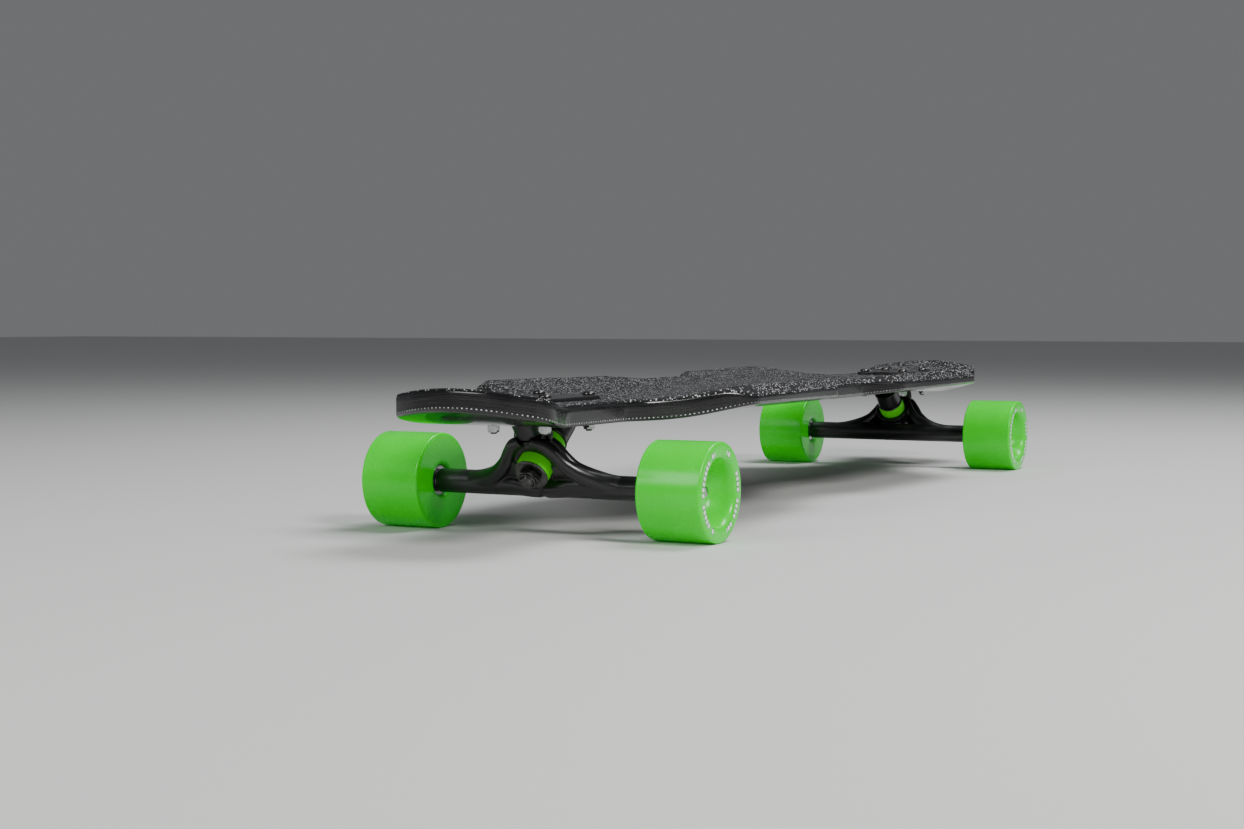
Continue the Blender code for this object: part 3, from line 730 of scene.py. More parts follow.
@dataclass(frozen=True)
class PrintedFinish(Finish):
    """Cast urethane with a generic broken band printed round the outer lip of a wheel."""

    band_low: float = 0.0268
    band_high: float = 0.0302
    face: float = 0.0225
    cells: int = 46
    ink: tuple[float, float, float] = (0.86, 0.90, 0.86)
    outline: tuple[float, float, float] = (0.01, 0.015, 0.01)

    def paint(self, n: Nodes, effects: Effects, place: bpy.types.NodeSocket,
              colour: bpy.types.NodeSocket) -> bpy.types.NodeSocket:
        """The tone under an outlined band of dashes."""
        split = n.add("SeparateXYZ")
        n.feed(place, split.inputs[0])
        x, y, z = split.outputs
        radius = n.math("SQRT", n.math("ADD", n.math("MULTIPLY", x, x), n.math("MULTIPLY", y, y)))
        turns = n.math("ADD", n.math("DIVIDE", n.math("ARCTAN2", y, x), 2 * math.pi), 0.5)
        cell = n.math("MULTIPLY", turns, float(self.cells))
        lottery = n.add("TexWhiteNoise", noise_dimensions="1D")
        n.feed(n.math("FLOOR", cell), lottery.inputs["W"])
        drawn = n.math("GREATER_THAN", lottery.outputs["Value"], 0.24)
        half_turn = n.math("PINGPONG", turns, 0.25)
        drawn = n.math("MULTIPLY", drawn, n.math("GREATER_THAN", half_turn, 0.055))
        drawn = n.math("MULTIPLY", drawn, n.math("GREATER_THAN", z, self.face))
        across = n.math("ABSOLUTE", n.math("SUBTRACT", n.math("FRACT", cell), 0.5))
        middle, half = (self.band_low + self.band_high) / 2, (self.band_high - self.band_low) / 2
        off_band = n.math("ABSOLUTE", n.math("SUBTRACT", radius, middle))
        for tone, width, depth in ((self.outline, 0.44, half + 0.0005), (self.ink, 0.33, half)):
            inside = n.math("MULTIPLY", n.math("LESS_THAN", across, width),
                            n.math("LESS_THAN", off_band, depth))
            colour = n.mix(n.math("MULTIPLY", inside, drawn), colour, tone)
        return colour


@dataclass(frozen=True)
class EdgeFinish(Finish):
    """The laminate's lacquered edge, with a row of painted glints, small light dots painted above
    its lower corner as highlights.

    It reads the deck's own map: along the edge in metres, and down it as a share of its depth.
    """

    # Painted highlights: tone, spacing, width and depth band of the row of glints.
    dot: tuple[float, float, float] = (0.75, 0.76, 0.78)
    dot_pitch: float = 0.0034
    dot_width: float = 0.30
    dot_depth: tuple[float, float] = (0.90, 0.965)
    streak: tuple[float, float, float] = (0.075, 0.073, 0.072)

    def paint(self, n: Nodes, effects: Effects, place: bpy.types.NodeSocket,
              colour: bpy.types.NodeSocket) -> bpy.types.NodeSocket:
        """The tone with its row of painted glints."""
        split = n.add("SeparateXYZ")
        n.feed(n.add("UVMap", uv_map="edge").outputs["UV"], split.inputs[0])
        along, down = split.outputs[0], split.outputs[1]
        step = n.math("FRACT", n.math("DIVIDE", along, self.dot_pitch))
        near = n.math("LESS_THAN", n.math("ABSOLUTE", n.math("SUBTRACT", step, 0.5)),
                      self.dot_width / 2)
        stretched = n.add("CombineXYZ")
        n.feed(n.math("MULTIPLY", along, 14.0), stretched.inputs[0])
        n.feed(n.math("MULTIPLY", down, 16.0), stretched.inputs[1])
        streaks = n.ramp(n.noise(stretched.outputs[0], 1.6, 4.0), 0.50, 0.78)
        colour = n.mix(n.math("MULTIPLY", streaks, 0.75), colour, self.streak)
        # Painted glints: light dots set in a band near the lower corner, each of random strength.
        low, high = self.dot_depth
        band = n.math("MULTIPLY", n.math("GREATER_THAN", down, low),
                      n.math("LESS_THAN", down, high))
        lottery = n.add("TexWhiteNoise", noise_dimensions="1D")
        n.feed(n.math("FLOOR", n.math("DIVIDE", along, self.dot_pitch)), lottery.inputs["W"])
        strength = n.math("ADD", n.math("MULTIPLY", lottery.outputs["Value"], 0.65), 0.35)
        shown = n.math("MULTIPLY", n.math("MULTIPLY", near, band), strength)
        return n.mix(shown, colour, self.dot)


class Paint(Enum):
    """Every finish on the board, with the record's slot that it belongs to."""

    # The grit's bright flecks are painted glints, highlights painted into its colour.
    GRIP = (Slot.GRIT, PaintedGlintFinish(
        "grit_sheet", (0.011, 0.011, 0.012), (0.026, 0.026, 0.027), 0.50, 0.85, 0.9, 60.0, 1150.0,
        0.00055, 0.75, specular=0.12, painted_glint=(0.66, 0.66, 0.68), painted_glint_scale=760.0,
        painted_glint_share=0.32))
    # The edge's row of light dots are painted glints.
    EDGE = (Slot.LAMINATE, EdgeFinish(
        "lacquered_edge", (0.004, 0.004, 0.005), (0.014, 0.014, 0.015), 0.16, 0.36, 0.6, 50.0,
        500.0,
        0.00004, coat=0.35, coat_roughness=0.08))
    PLY = (Slot.LAMINATE, Finish(
        "pale_ply_line", (0.085, 0.083, 0.080), (0.14, 0.135, 0.125), 0.28, 0.45, 0.7, 120.0, 900.0,
        0.00004, coat=0.4))
    BASE = (Slot.LAMINATE, Finish(
        "lacquered_underside", (0.008, 0.009, 0.012), (0.010, 0.030, 0.085), 0.10, 0.22, 0.8, 6.0,
        260.0, 0.00003, coat=0.8, coat_roughness=0.04))
    # The coating's faint flecks are painted glints, highlights painted into its colour.
    CASTING = (Slot.CASTING, PaintedGlintFinish(
        "satin_black_coating", (0.006, 0.006, 0.007), (0.014, 0.014, 0.015), 0.28, 0.44, 0.6, 70.0,
        850.0, 0.00005, coat=0.15, coat_roughness=0.25, painted_glint=(0.05, 0.05, 0.052),
        painted_glint_scale=2600.0, painted_glint_share=0.12))
    DARK_STEEL = (Slot.DARK_STEEL, Finish(
        "dark_oxide_steel", (0.085, 0.083, 0.082), (0.22, 0.215, 0.21), 0.24, 0.46, 0.6, 160.0,
        1400.0, 0.00002, metallic=1.0))
    ZINC = (Slot.ZINC, Finish(
        "zinc_plate", (0.62, 0.62, 0.63), (0.42, 0.43, 0.45), 0.18, 0.38, 0.6, 240.0, 1800.0,
        0.00002, metallic=1.0))
    STEEL = (Slot.STEEL, Finish(
        "ground_steel", (0.50, 0.50, 0.51), (0.33, 0.33, 0.34), 0.16, 0.36, 0.5, 220.0, 1600.0,
        0.000015, metallic=1.0, anisotropic=0.4))
    SHIELD = (Slot.STEEL, Finish(
        "bearing_shield", (0.030, 0.030, 0.032), (0.075, 0.075, 0.078), 0.35, 0.55, 0.6, 260.0,
        1500.0, 0.00002))
    COLLAR = (Slot.DARK_STEEL, Finish(
        "nylon_collar", (0.045, 0.047, 0.050), (0.085, 0.088, 0.092), 0.38, 0.55, 0.6, 200.0,
        1400.0, 0.00002))
    # The wheels and bushings get a painted glow, light of their own tone added for vividness.
    WHEEL = (Slot.URETHANE, PrintedFinish(
        "cast_urethane", (0.006, 0.720, 0.003), (0.014, 0.800, 0.006), 0.22, 0.38, 0.7, 45.0, 700.0,
        0.00003, coat=0.15, coat_roughness=0.2, subsurface=0.05, specular=0.35, glow=0.07))
    BUSHING = (Slot.BUSHING, Finish(
        "bushing_urethane", (0.100, 0.800, 0.008), (0.150, 0.880, 0.020), 0.28, 0.45, 0.7, 130.0,
        1200.0, 0.00003, coat=0.1, subsurface=0.08, specular=0.35, glow=0.10))
    CUP = (Slot.CUP, Finish(
        "moulded_cup", (0.018, 0.018, 0.019), (0.035, 0.035, 0.037), 0.42, 0.60, 0.6, 200.0,
        1500.0, 0.00003))

    @property
    def slot(self) -> Slot:
        """The record's slot."""
        return self.value[0]

    @property
    def finish(self) -> Finish:
        """The finish's own settings."""
        return self.value[1]


class Workshop:
    """Makes pieces: gives them their finishes, hangs them on their bodies and hides the imported
    nodes that they replace.
    """

    def __init__(self) -> None:
        """Build every material."""
        effects = Effects()
        self.materials = {paint: paint.finish.build(effects) for paint in Paint}
        self.collection = bpy.data.collections.new("longboard_surfaces")
        bpy.context.scene.collection.children.link(self.collection)

    def piece(self, name: str, mesh: bpy.types.Mesh, paints: Sequence[Paint], body: str,
              place: Matrix | None = None, stands_for: str = "", crease: float = 38.0,
              rides: bool = True) -> bpy.types.Object:
        """A finished piece.

        Args:
            name: Its name.
            mesh: Its surface.
            paints: Its finishes, in the order of the mesh's material indices.
            body: The body it moves with.
            place: Where it goes.
            stands_for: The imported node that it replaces, if any.
            crease: Angle in degrees from which an edge stays sharp.
            rides: Whether it simply rides on the body.

        Returns:
            The piece's object.
        """
        mesh.materials.clear()
        for paint in paints:
            mesh.materials.append(self.materials[paint])
        mesh.shade_smooth()
        mesh.set_sharp_from_angle(angle=math.radians(crease))
        obj = bpy.data.objects.new(name, mesh)
        self.collection.objects.link(obj)
        if place is not None:
            obj.matrix_world = place
        bpy.context.view_layer.update()
        if rides:
            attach(obj, body)
        if stands_for:
            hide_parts(stands_for)
        LOG.info("%s: %d faces, on %s", name, len(mesh.polygons), body)
        return obj


# ---------------------------------------------------------------- deck
@dataclass
class Deck:
    """The laminated board and its grit sheet."""

    shop: Workshop
    length: float = 0.985
    axle_y: float = 0.365
    top: float = 0.0945
    thickness: float = 0.0145
    platform: float = 0.1205
    rail: float = 0.112
    waist: float = 0.089
    neck: float = 0.050
    nose: float = 0.059
    nose_corner: float = 0.012
    bulge: float = 0.0185
    kick_rise: float = 0.013
    concave: float = 0.764
    rail_edge: float = 0.0020
    well_slope: float = 1.22
    well_inboard: float = 0.0362
    neck_outboard: float = 0.055
    edge_round: float = 0.0022
    under_round: float = 0.0015
    waist_from: float = 0.035
    waist_to: float = 0.085
    flare_blend: float = 0.012
    well_blend: float = 0.020
    slot_half: tuple[float, float] = (0.016, 0.035)
    slot_corner: float = 0.0065
    window_margin: float = 0.001
    window_corner: float = 0.006
    grit_inset: float = 0.0004
    grit_lift: float = 0.0012
    grit_depth: float = 0.0009
    plies: tuple[tuple[float, int], ...] = ((0.0, 0), (0.235, 1), (0.262, 0), (0.345, 1),
                                            (0.365, 0), (0.89, 0), (0.975, 0))

    def __post_init__(self) -> None:
        """Work out the places along the board."""
        self.tip_y = self.length / 2
        self.corner_y = self.tip_y - self.bulge
        self.well_y = self.axle_y - self.well_inboard
        self.flare_y = self.well_y - (self.platform - self.neck) / self.well_slope
        self.neck_y = self.axle_y + self.neck_outboard

    @staticmethod
    def blend(value: float, limit: float, width: float) -> float:
        """The smaller of two values, rounded where they cross; the larger if width is negative."""
        near = max(abs(width) - abs(value - limit), 0.0) ** 2 / (4 * width)
        return (min(value, limit) if width > 0 else max(value, limit)) - near

    def half(self, y: float) -> float:
        """Half-width of the board at a distance y from its middle."""
        rail = self.waist + (self.rail - self.waist) * ease(y, self.waist_from, self.waist_to)
        rail += (self.platform - self.rail) * ease(y, self.waist_to, self.flare_y - 0.04)
        wall = self.platform - self.well_slope * (y - self.flare_y)
        flank_end = self.corner_y - self.nose_corner
        neck = self.neck + (self.nose - self.neck) * ease(y, self.neck_y, flank_end)
        corner = max(y - self.corner_y + self.nose_corner, 0.0) / self.nose_corner
        outline = self.blend(self.blend(rail, wall, self.flare_blend), neck, -self.well_blend)
        return outline - 0.35 * self.nose_corner * corner ** 2

    def face(self, x: float, y: float) -> float:
        """Height of the top face before its edges are broken."""
        along = abs(y)
        rise = self.concave * x * x * (1 - ease(along, self.flare_y, self.well_y))
        kick = max(along - self.neck_y, 0.0) / (self.tip_y - self.neck_y)
        return self.top + rise + self.kick_rise * kick * kick

    def drop(self, y: float, inward: float) -> float:
        """How far the top face is cut down near its edge.

        Args:
            y: Distance from the board's middle.
            inward: Distance from the edge.

        Returns:
            The depth of the cut.
        """
        half = self.half(y)
        rail = max(self.face(half, y) - self.top - self.rail_edge, self.edge_round)
        rail_share = 1 - ease(y, self.flare_y - 0.004, self.flare_y + 0.022)
        depth = self.edge_round + (rail - self.edge_round) * rail_share
        width = max(depth, self.edge_round)
        q = max(1 - inward / width, 0.0)
        round_edge = 1 - math.sqrt(max(1 - q * q, 0.0))
        bevel = (math.sqrt(q * q + 0.01) - 0.1) / 0.905 if q > 0 else 0.0
        return depth * (bevel * rail_share + round_edge * (1 - rail_share))

    def stations(self) -> list[float]:
        """Places along the board, closer together where the outline turns."""
        half_way = [0.0, 0.018, 0.030]
        half_way += [0.035 + 0.005 * k for k in range(11)]
        half_way += list(np.linspace(0.095, self.flare_y - 0.016, 16))
        half_way += list(np.arange(self.flare_y - 0.012, self.well_y + 0.016, 0.0026))
        half_way += list(np.linspace(self.well_y + 0.020, self.neck_y, 14))
        half_way += list(np.linspace(self.neck_y + 0.006, self.corner_y - self.nose_corner, 9))
        last = self.corner_y - self.nose_corner
        half_way += [last + self.nose_corner * share
                     for share in (0.25, 0.45, 0.62, 0.76, 0.87, 0.94, 0.975, 1.0)]
        return [-y for y in reversed(half_way[1:])] + half_way

    def plan(self, inset: float) -> np.ndarray:
        """The board's plan as a grid of (x, y), drawn in by inset."""
        edge_steps = np.array([0, 0.35, 0.8, 1.4, 2.2, 3.4, 5.0, 7.0, 9.0, 11.5]) * MM
        rows = []
        for y in self.stations():
            along = abs(y)
            half = self.half(along)
            endward = ease(along, self.neck_y, self.corner_y)
            bow = self.bulge * endward
            flank = half - edge_steps
            middle = np.linspace(-flank[-1], flank[-1], 27)[1:-1]
            xs = np.concatenate([-flank, middle, flank[::-1]])
            ys = along + bow * (1 - (xs / half) ** 2)
            pull = 1 - inset / half
            rows.append([(x * pull, math.copysign(v - inset * endward, y)) for x, v in zip(xs, ys)])
        return np.array(rows)

    def inward(self, x: float, y: float) -> float:
        """Distance of a place on the board from the nearest edge, for rounding it."""
        along = abs(y)
        side = self.half(min(along, self.corner_y)) - abs(x)
        slope = abs(self.half(along + 0.001) - self.half(max(along - 0.001, 0))) / 0.002
        side /= math.sqrt(1 + slope * slope) if along < self.corner_y - self.nose_corner else 1.0
        if along < self.corner_y - 0.03:
            return side
        end = self.corner_y + self.bulge * (1 - (x / self.half(self.corner_y)) ** 2) - along
        return min(side, max(end, 0.0) * 0.85) if abs(x) < self.half(self.corner_y) else side

    def sheet(self, name: str, inset: float, lift: float, depth: float,
              follow: bool) -> bpy.types.Mesh:
        """A closed slab with the board's plan.

        Args:
            name: The mesh's name.
            inset: How far it is drawn in from the board's edge.
            lift: Its top face over the board's.
            depth: Its thickness.
            follow: Whether its lower face follows the broken edges.

        Returns:
            The slab, with a map named edge round its rim.
        """
        plan = self.plan(inset)
        rows, columns = plan.shape[:2]
        top, low = np.zeros((rows, columns)), np.zeros((rows, columns))
        for i in range(rows):
            for j in range(columns):
                x, y = plan[i, j]
                edge = self.inward(x, y)
                rim = i in (0, rows - 1) or j in (0, columns - 1)
                cut = self.drop(min(abs(y), self.corner_y), 0.0 if rim and not follow else edge)
                top[i, j] = self.face(x, y) - cut + lift
                q = max(1 - (0.0 if rim else edge) / self.under_round, 0.0)
                raised = self.under_round * (1 - math.sqrt(max(1 - q * q, 0.0)))
                low[i, j] = top[i, j] - depth if follow else self.face(x, y) - depth + raised
        loop = ([(i, 0) for i in range(rows)] + [(rows - 1, j) for j in range(1, columns)]
                + [(i, columns - 1) for i in range(rows - 2, -1, -1)]
                + [(0, j) for j in range(columns - 2, 0, -1)])
        bm = bmesh.new()
        layer = bm.loops.layers.uv.new("edge")
        over, under = ([[bm.verts.new((*plan[i, j], height[i, j])) for j in range(columns)]
                        for i in range(rows)] for height in (top, low))
        for i in range(rows - 1):
            for j in range(columns - 1):
                bm.faces.new((over[i][j], over[i][j + 1], over[i + 1][j + 1], over[i + 1][j]))
                face = bm.faces.new((under[i][j], under[i + 1][j], under[i + 1][j + 1],
                                     under[i][j + 1]))
                face.material_index = 0 if follow else 2
        marks = ((0.0, 0),) if follow else self.plies
        depths = [d for d, _ in marks] + [1.0]
        rings = [[over[i][j] for i, j in loop]]
        for share in depths[1:-1]:
            rings.append([bm.verts.new(over[i][j].co.lerp(under[i][j].co, share))
                          for i, j in loop])
        rings.append([under[i][j] for i, j in loop])
        travelled = np.concatenate([[0.0], np.cumsum([
            (Vector(over[a][b].co) - Vector(over[c][d].co)).length
            for (a, b), (c, d) in zip(loop, loop[1:] + loop[:1])])])
        for r, (upper, lower) in enumerate(zip(rings, rings[1:])):
            for k in range(len(loop)):
                after = (k + 1) % len(loop)
                face = bm.faces.new((upper[k], upper[after], lower[after], lower[k]))
                face.material_index = marks[r][1]
                places = ((k, r), (k + 1, r), (k + 1, r + 1), (k, r + 1))
                for corner, (u, v) in zip(face.loops, places):
                    corner[layer].uv = (travelled[u], depths[v])
        bmesh.ops.recalc_face_normals(bm, faces=bm.faces)
        return settled(name, bm)

    def build(self, truck: "TruckSizes") -> None:
        """Make the board and its grit sheet, cut for the trucks.

        Args:
            truck: The sizes that the slots, windows and bolt holes follow.
        """
        low, high = self.top - 0.04, self.top + 0.03
        slots, windows = [], []
        across, along = self.slot_half
        for end in End:
            middle = end.value * (self.axle_y + truck.plate_out)
            slots.append(block((-across, middle - along, low), (across, middle + along, high),
                               self.slot_corner))
            for x, out in truck.bolt_places():
                spot = Matrix.Translation((x, end.value * (self.axle_y + out), 0))
                slots.append(bar(truck.bolt_hole, low, high, spot, 24))
            width = truck.plate_width / 2 + self.window_margin
            reach = truck.plate_length / 2 + self.window_margin
            windows.append(block((-width, middle - reach, low), (width, middle + reach, high),
                                 self.window_corner))
        board = carved(self.sheet("board", 0.0, 0.0, self.thickness, False), slots)
        self.shop.piece("laminated_board", board, (Paint.EDGE, Paint.PLY, Paint.BASE), "deck",
                        stands_for="deck", crease=50.0)
        grit = carved(self.sheet("grit", self.grit_inset, self.grit_lift, self.grit_depth, True),
                      windows)
        self.shop.piece("grit_sheet", grit, (Paint.GRIP,), "deck", stands_for="grip_sheet",
                        crease=50.0)


# ---------------------------------------------------------------- trucks
@dataclass(frozen=True)
class TruckSizes:
    """Sizes that both trucks share, in the truck's own frame."""

    axle_y: float = 0.365
    axle_z: float = 0.035
    gap: float = 0.0003
    seat_out: float = 0.0088
    seat_up: float = 0.0205
    pivot_angle: float = math.radians(50)
    deck_top: float = 0.0595
    deck_under: float = 0.045
    plate_out: float = 0.007
    plate_length: float = 0.079
    plate_width: float = 0.055
    plate_thickness: float = 0.0038
    bolt_x: float = 0.0413
    bolt_y: float = 0.0635
    bolt_hole: float = 0.0028
    bolt: float = 0.00235
    bolt_head: float = 0.0046
    bolt_head_height: float = 0.0026
    bolt_socket: float = 0.0019
    bolt_tail: float = 0.0010
    bolt_nut_across: float = 0.0086
    bolt_nut_height: float = 0.0058
    hanger_half: float = 0.089
    tube: float = 0.00875
    bushing: float = 0.0128
    bushing_height: float = 0.0132
    washer: float = 0.0130
    washer_thickness: float = 0.0016
    seat_web: float = 0.0035
    kingpin: float = 0.00475
    kingpin_across: float = 0.0143
    kingpin_head: float = 0.0060
    kingpin_nut: float = 0.0065
    kingpin_tail: float = 0.0023
    nose: float = 0.0052
    pivot_reach: float = 0.0307
    cup_start: float = 0.0248
    cup_wall: float = 0.0023
    boss: float = 0.012
    boss_length: float = 0.0165
    axle: float = 0.004
    axle_half: float = 0.1255
    axle_nut_across: float = 0.0127
    axle_nut_height: float = 0.0065
    speed_washer: float = 0.0008
    wheel_radius: float = 0.035
    wheel_width: float = 0.0487
    wheel_inset: float = 0.0027
    bearing: float = 0.011
    bearing_width: float = 0.007
    core_gap: float = 0.010

    def bolt_places(self) -> list[tuple[float, float]]:
        """The bolts' places across and outboard of the axle."""
        return [(sx * self.bolt_x / 2, self.plate_out + sy * self.bolt_y / 2)
                for sx in (-1, 1) for sy in (-1, 1)]

    @property
    def plate_top(self) -> float:
        """Top of the plate above the axle."""
        return self.deck_top + self.gap + self.plate_thickness

    @property
    def bushing_start(self) -> float:
        """Near end of a bushing from the seat's centre."""
        return self.seat_web + self.gap

    @property
    def washer_start(self) -> float:
        """Near face of a cupped washer."""
        return self.bushing_start + self.bushing_height + self.gap

    @property
    def nut_start(self) -> float:
        """Near face of the kingpin nut, and of the boss on the other side."""
        return self.washer_start + self.washer_thickness + self.gap

    @property
    def head_start(self) -> float:
        """Under the kingpin's head."""
        return self.nut_start + self.boss_length + self.gap

    @property
    def bearing_face(self) -> float:
        """Inner face of the inner bearing, from the middle of the axle."""
        return self.hanger_half + 2 * self.gap + self.speed_washer

    @property
    def kingpin_turn(self) -> Matrix:
        """Turns Z onto the kingpin, towards its nut."""
        return Matrix.Rotation(-(math.pi - self.pivot_angle), 4, "X")

    @property
    def pivot_turn(self) -> Matrix:
        """Turns Z onto the pivot axis, towards the cup."""
        return Matrix.Rotation(-(math.pi / 2 - self.pivot_angle), 4, "X")

    def seat(self) -> Matrix:
        """Moves the origin to the bushing seat."""
        return Matrix.Translation((0, self.seat_out, self.seat_up))

    def placed(self, end: End) -> Matrix:
        """The truck's frame on the board."""
        turn_round = Matrix.Rotation(math.pi if end is End.FRONT else 0.0, 4, "Z")
        return Matrix.Translation((0, end.value * self.axle_y, self.axle_z)) @ turn_round


@dataclass
class Truck:
    """One truck, with its casting, stack, pivot, bolts and axle.

    The limbs are the hanger's outer arm, inner arm and skirt on one side, as places across,
    outboard and up, each with the limb's radius there. The web has the same three numbers.
    """

    limbs: ClassVar[tuple[tuple[tuple[float, float, float, float], ...], ...]] = (
        ((0.004, 0.0300, 0.0325, 0.0040), (0.0115, 0.0272, 0.0300, 0.0046),
         (0.0180, 0.0222, 0.0238, 0.0048), (0.0235, 0.0178, 0.0168, 0.0051),
         (0.0330, 0.0115, 0.0095, 0.0058), (0.0450, 0.0048, 0.0042, 0.0070),
         (0.0580, 0.0012, 0.0012, 0.0078), (0.0760, 0.0, 0.0, 0.0060)),
        ((0.0060, 0.0190, 0.0360, 0.0032), (0.0135, 0.0125, 0.0300, 0.0038),
         (0.0190, 0.0080, 0.0215, 0.0042), (0.0260, 0.0050, 0.0135, 0.0050),
         (0.0380, 0.0015, 0.0070, 0.0062), (0.0560, 0.0, 0.0012, 0.0078),
         (0.0740, 0.0, 0.0, 0.0060)),
        ((0.0020, 0.0030, -0.0030, 0.0062), (0.0120, 0.0040, -0.0020, 0.0068),
         (0.0240, 0.0020, 0.0000, 0.0080), (0.0400, 0.0, 0.0, 0.0086)))
    web_edge: ClassVar[tuple[Point, ...]] = (
        (0.010, 0.0150, 0.0130), (0.016, 0.0180, 0.0175), (0.024, 0.0150, 0.0150),
        (0.032, 0.0105, 0.0095), (0.042, 0.0055, 0.0055), (0.056, 0.0015, 0.0015))

    shop: Workshop
    end: End
    sizes: TruckSizes = field(default_factory=TruckSizes)

    def __post_init__(self) -> None:
        """Find the truck's frames."""
        s = self.sizes
        self.frame = s.placed(self.end)
        self.kingpin_frame = self.frame @ s.seat() @ s.kingpin_turn
        self.pivot_frame = self.frame @ s.seat() @ s.pivot_turn
        self.hanger_body = f"{self.end.word}_hanger"

    def add(self, part: str, fine: str, mesh: bpy.types.Mesh, paints: Sequence[Paint], body: str,
            place: Matrix, **options: object) -> bpy.types.Object:
        """A piece of this truck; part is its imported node's name without the end."""
        return self.shop.piece(f"{self.end.word}_{fine}", mesh, paints, body, place,
                               stands_for=f"{self.end.word}_{part}", **options)

    def build(self) -> None:
        """Make every piece of the truck."""
        for part, mesh, body in (("baseplate", self.baseplate_mesh(self.sizes), "deck"),
                                 ("hanger", self.hanger_mesh(self.sizes), self.hanger_body)):
            self.add(part, f"{part}_casting", mesh.copy(), (Paint.CASTING,), body, self.frame)
        self.stack()
        self.pivot_cup()
        self.bolts()
        self.axle()
        for side in Side:
            Wheel(self.shop, self, side).build()

    @staticmethod
    @cache
    def baseplate_mesh(s: TruckSizes) -> bpy.types.Mesh:
        """The plate's casting, with ribs under it, shaped once for both trucks."""
        king, pivot = s.seat() @ s.kingpin_turn, s.seat() @ s.pivot_turn
        low, top = s.deck_top + s.gap, s.plate_top
        near, far = s.plate_out - s.plate_length / 2, s.plate_out + s.plate_length / 2
        slot_near, slot_far = s.plate_out - 0.0335, s.plate_out + 0.0335
        housing = s.nose + s.cup_wall + 2 * s.gap
        solids = [
            block((-s.plate_width / 2, near, low), (s.plate_width / 2, far, top), 0.005),
            block((-0.0145, slot_near, s.deck_under + 0.003), (0.0145, slot_far, low + MM), 0.005),
            block((-0.011, -0.024, s.deck_under - 0.0045), (0.011, -0.002, low + MM), 0.004),
            bar(s.boss, -s.head_start - 0.002, -s.nut_start, king),
            bar(0.0101, s.cup_start - s.gap, s.pivot_reach + 0.009, pivot),
        ]
        for x in (-0.0115, 0.0115):
            rib = [(x, -0.020, s.deck_under + 0.004), (x, 0.006, s.deck_under + 0.001),
                   (x * 0.75, 0.024, s.deck_under - 0.001), (x * 0.6, 0.034, s.deck_under + 0.004)]
            solids.append(sweep(rib, [0.0022] * 4, 12, 4))
        skin_mesh = cast("baseplate", solids, 0.00065, 5)
        cutters = [
            bar(s.kingpin_across / 2 + 0.0013, -s.head_start - 0.0105, -s.head_start + s.gap, king),
            bar(s.kingpin + s.gap, -s.head_start - 0.006, 0, king),
            bar(housing, 0, s.pivot_reach + 0.007, pivot),
            block((-0.0085, near - 0.01, low - MM), (0.0085, near + 0.0035, top + 0.01), 0.0015),
        ]
        for x, out in s.bolt_places():
            spot = Matrix.Translation((x, out, 0))
            cutters.append(bar(s.bolt_hole, low - 0.01, top + 0.01, spot, 32))
        return carved(skin_mesh, cutters)

    @staticmethod
    def hood(s: TruckSizes) -> bmesh.types.BMesh:
        """The shield that rises round the pivot from the tops of the arms."""
        up, round_it, thick = 12, 16, 0.0036
        rows = []
        for k in range(up + 1):
            t = k / up
            spread = math.radians(96 - 62 * ease(t, 0.0, 1.0))
            rows.append([(0.0117 + 0.0006 * t, 0.0165 + 0.0165 * t, spread * (2 * j / round_it - 1))
                         for j in range(round_it + 1)])
        bm = bmesh.new()
        inner, outer = ([[bm.verts.new(((r + extra) * math.sin(a), -(r + extra) * math.cos(a), h))
                          for r, h, a in row] for row in rows] for extra in (0.0, thick))
        for i in range(up):
            for j in range(round_it):
                bm.faces.new((inner[i][j], inner[i][j + 1], inner[i + 1][j + 1], inner[i + 1][j]))
                bm.faces.new((outer[i][j], outer[i + 1][j], outer[i + 1][j + 1], outer[i][j + 1]))
        for i in range(up):
            for j in (0, round_it):
                bm.faces.new((inner[i][j], inner[i + 1][j], outer[i + 1][j], outer[i][j]))
        for j in range(round_it):
            for i in (0, up):
                bm.faces.new((inner[i][j], inner[i][j + 1], outer[i][j + 1], outer[i][j]))
        bmesh.ops.recalc_face_normals(bm, faces=bm.faces)
        bm.transform(s.seat() @ s.pivot_turn)
        return bm

    @staticmethod
    def web(side: int) -> bmesh.types.BMesh:
        """The thin wall between the tube and an arm, sunk below both."""
        bm = bmesh.new()
        rings = []
        for x, out, up in Truck.web_edge:
            far = Vector((side * x, out, up))
            across = Vector((0, -far.z, far.y)).normalized() * 0.0021
            near = Vector((side * x, 0, 0))
            rings.append([bm.verts.new(v) for v in (
                near - across, near + across, far + across, far - across)])
        closed_loft(bm, rings)
        return bm

    @staticmethod
    @cache
    def hanger_mesh(s: TruckSizes) -> bpy.types.Mesh:
        """The hanger's casting: tube, hub, arms, hood and pivot nose, shaped once for both."""
        king, pivot = s.seat() @ s.kingpin_turn, s.seat() @ s.pivot_turn
        across = Matrix.Rotation(math.pi / 2, 4, "Y")

        def nose(low: float) -> list[bmesh.types.BMesh]:
            """The pivot nose from this height, with its round tip."""
            tip = bmesh.new()
            bmesh.ops.create_uvsphere(tip, u_segments=32, v_segments=16, radius=s.nose)
            tip.transform(pivot @ Matrix.Translation((0, 0, s.pivot_reach)))
            return [bar(s.nose, low, s.pivot_reach, pivot, 40), tip]

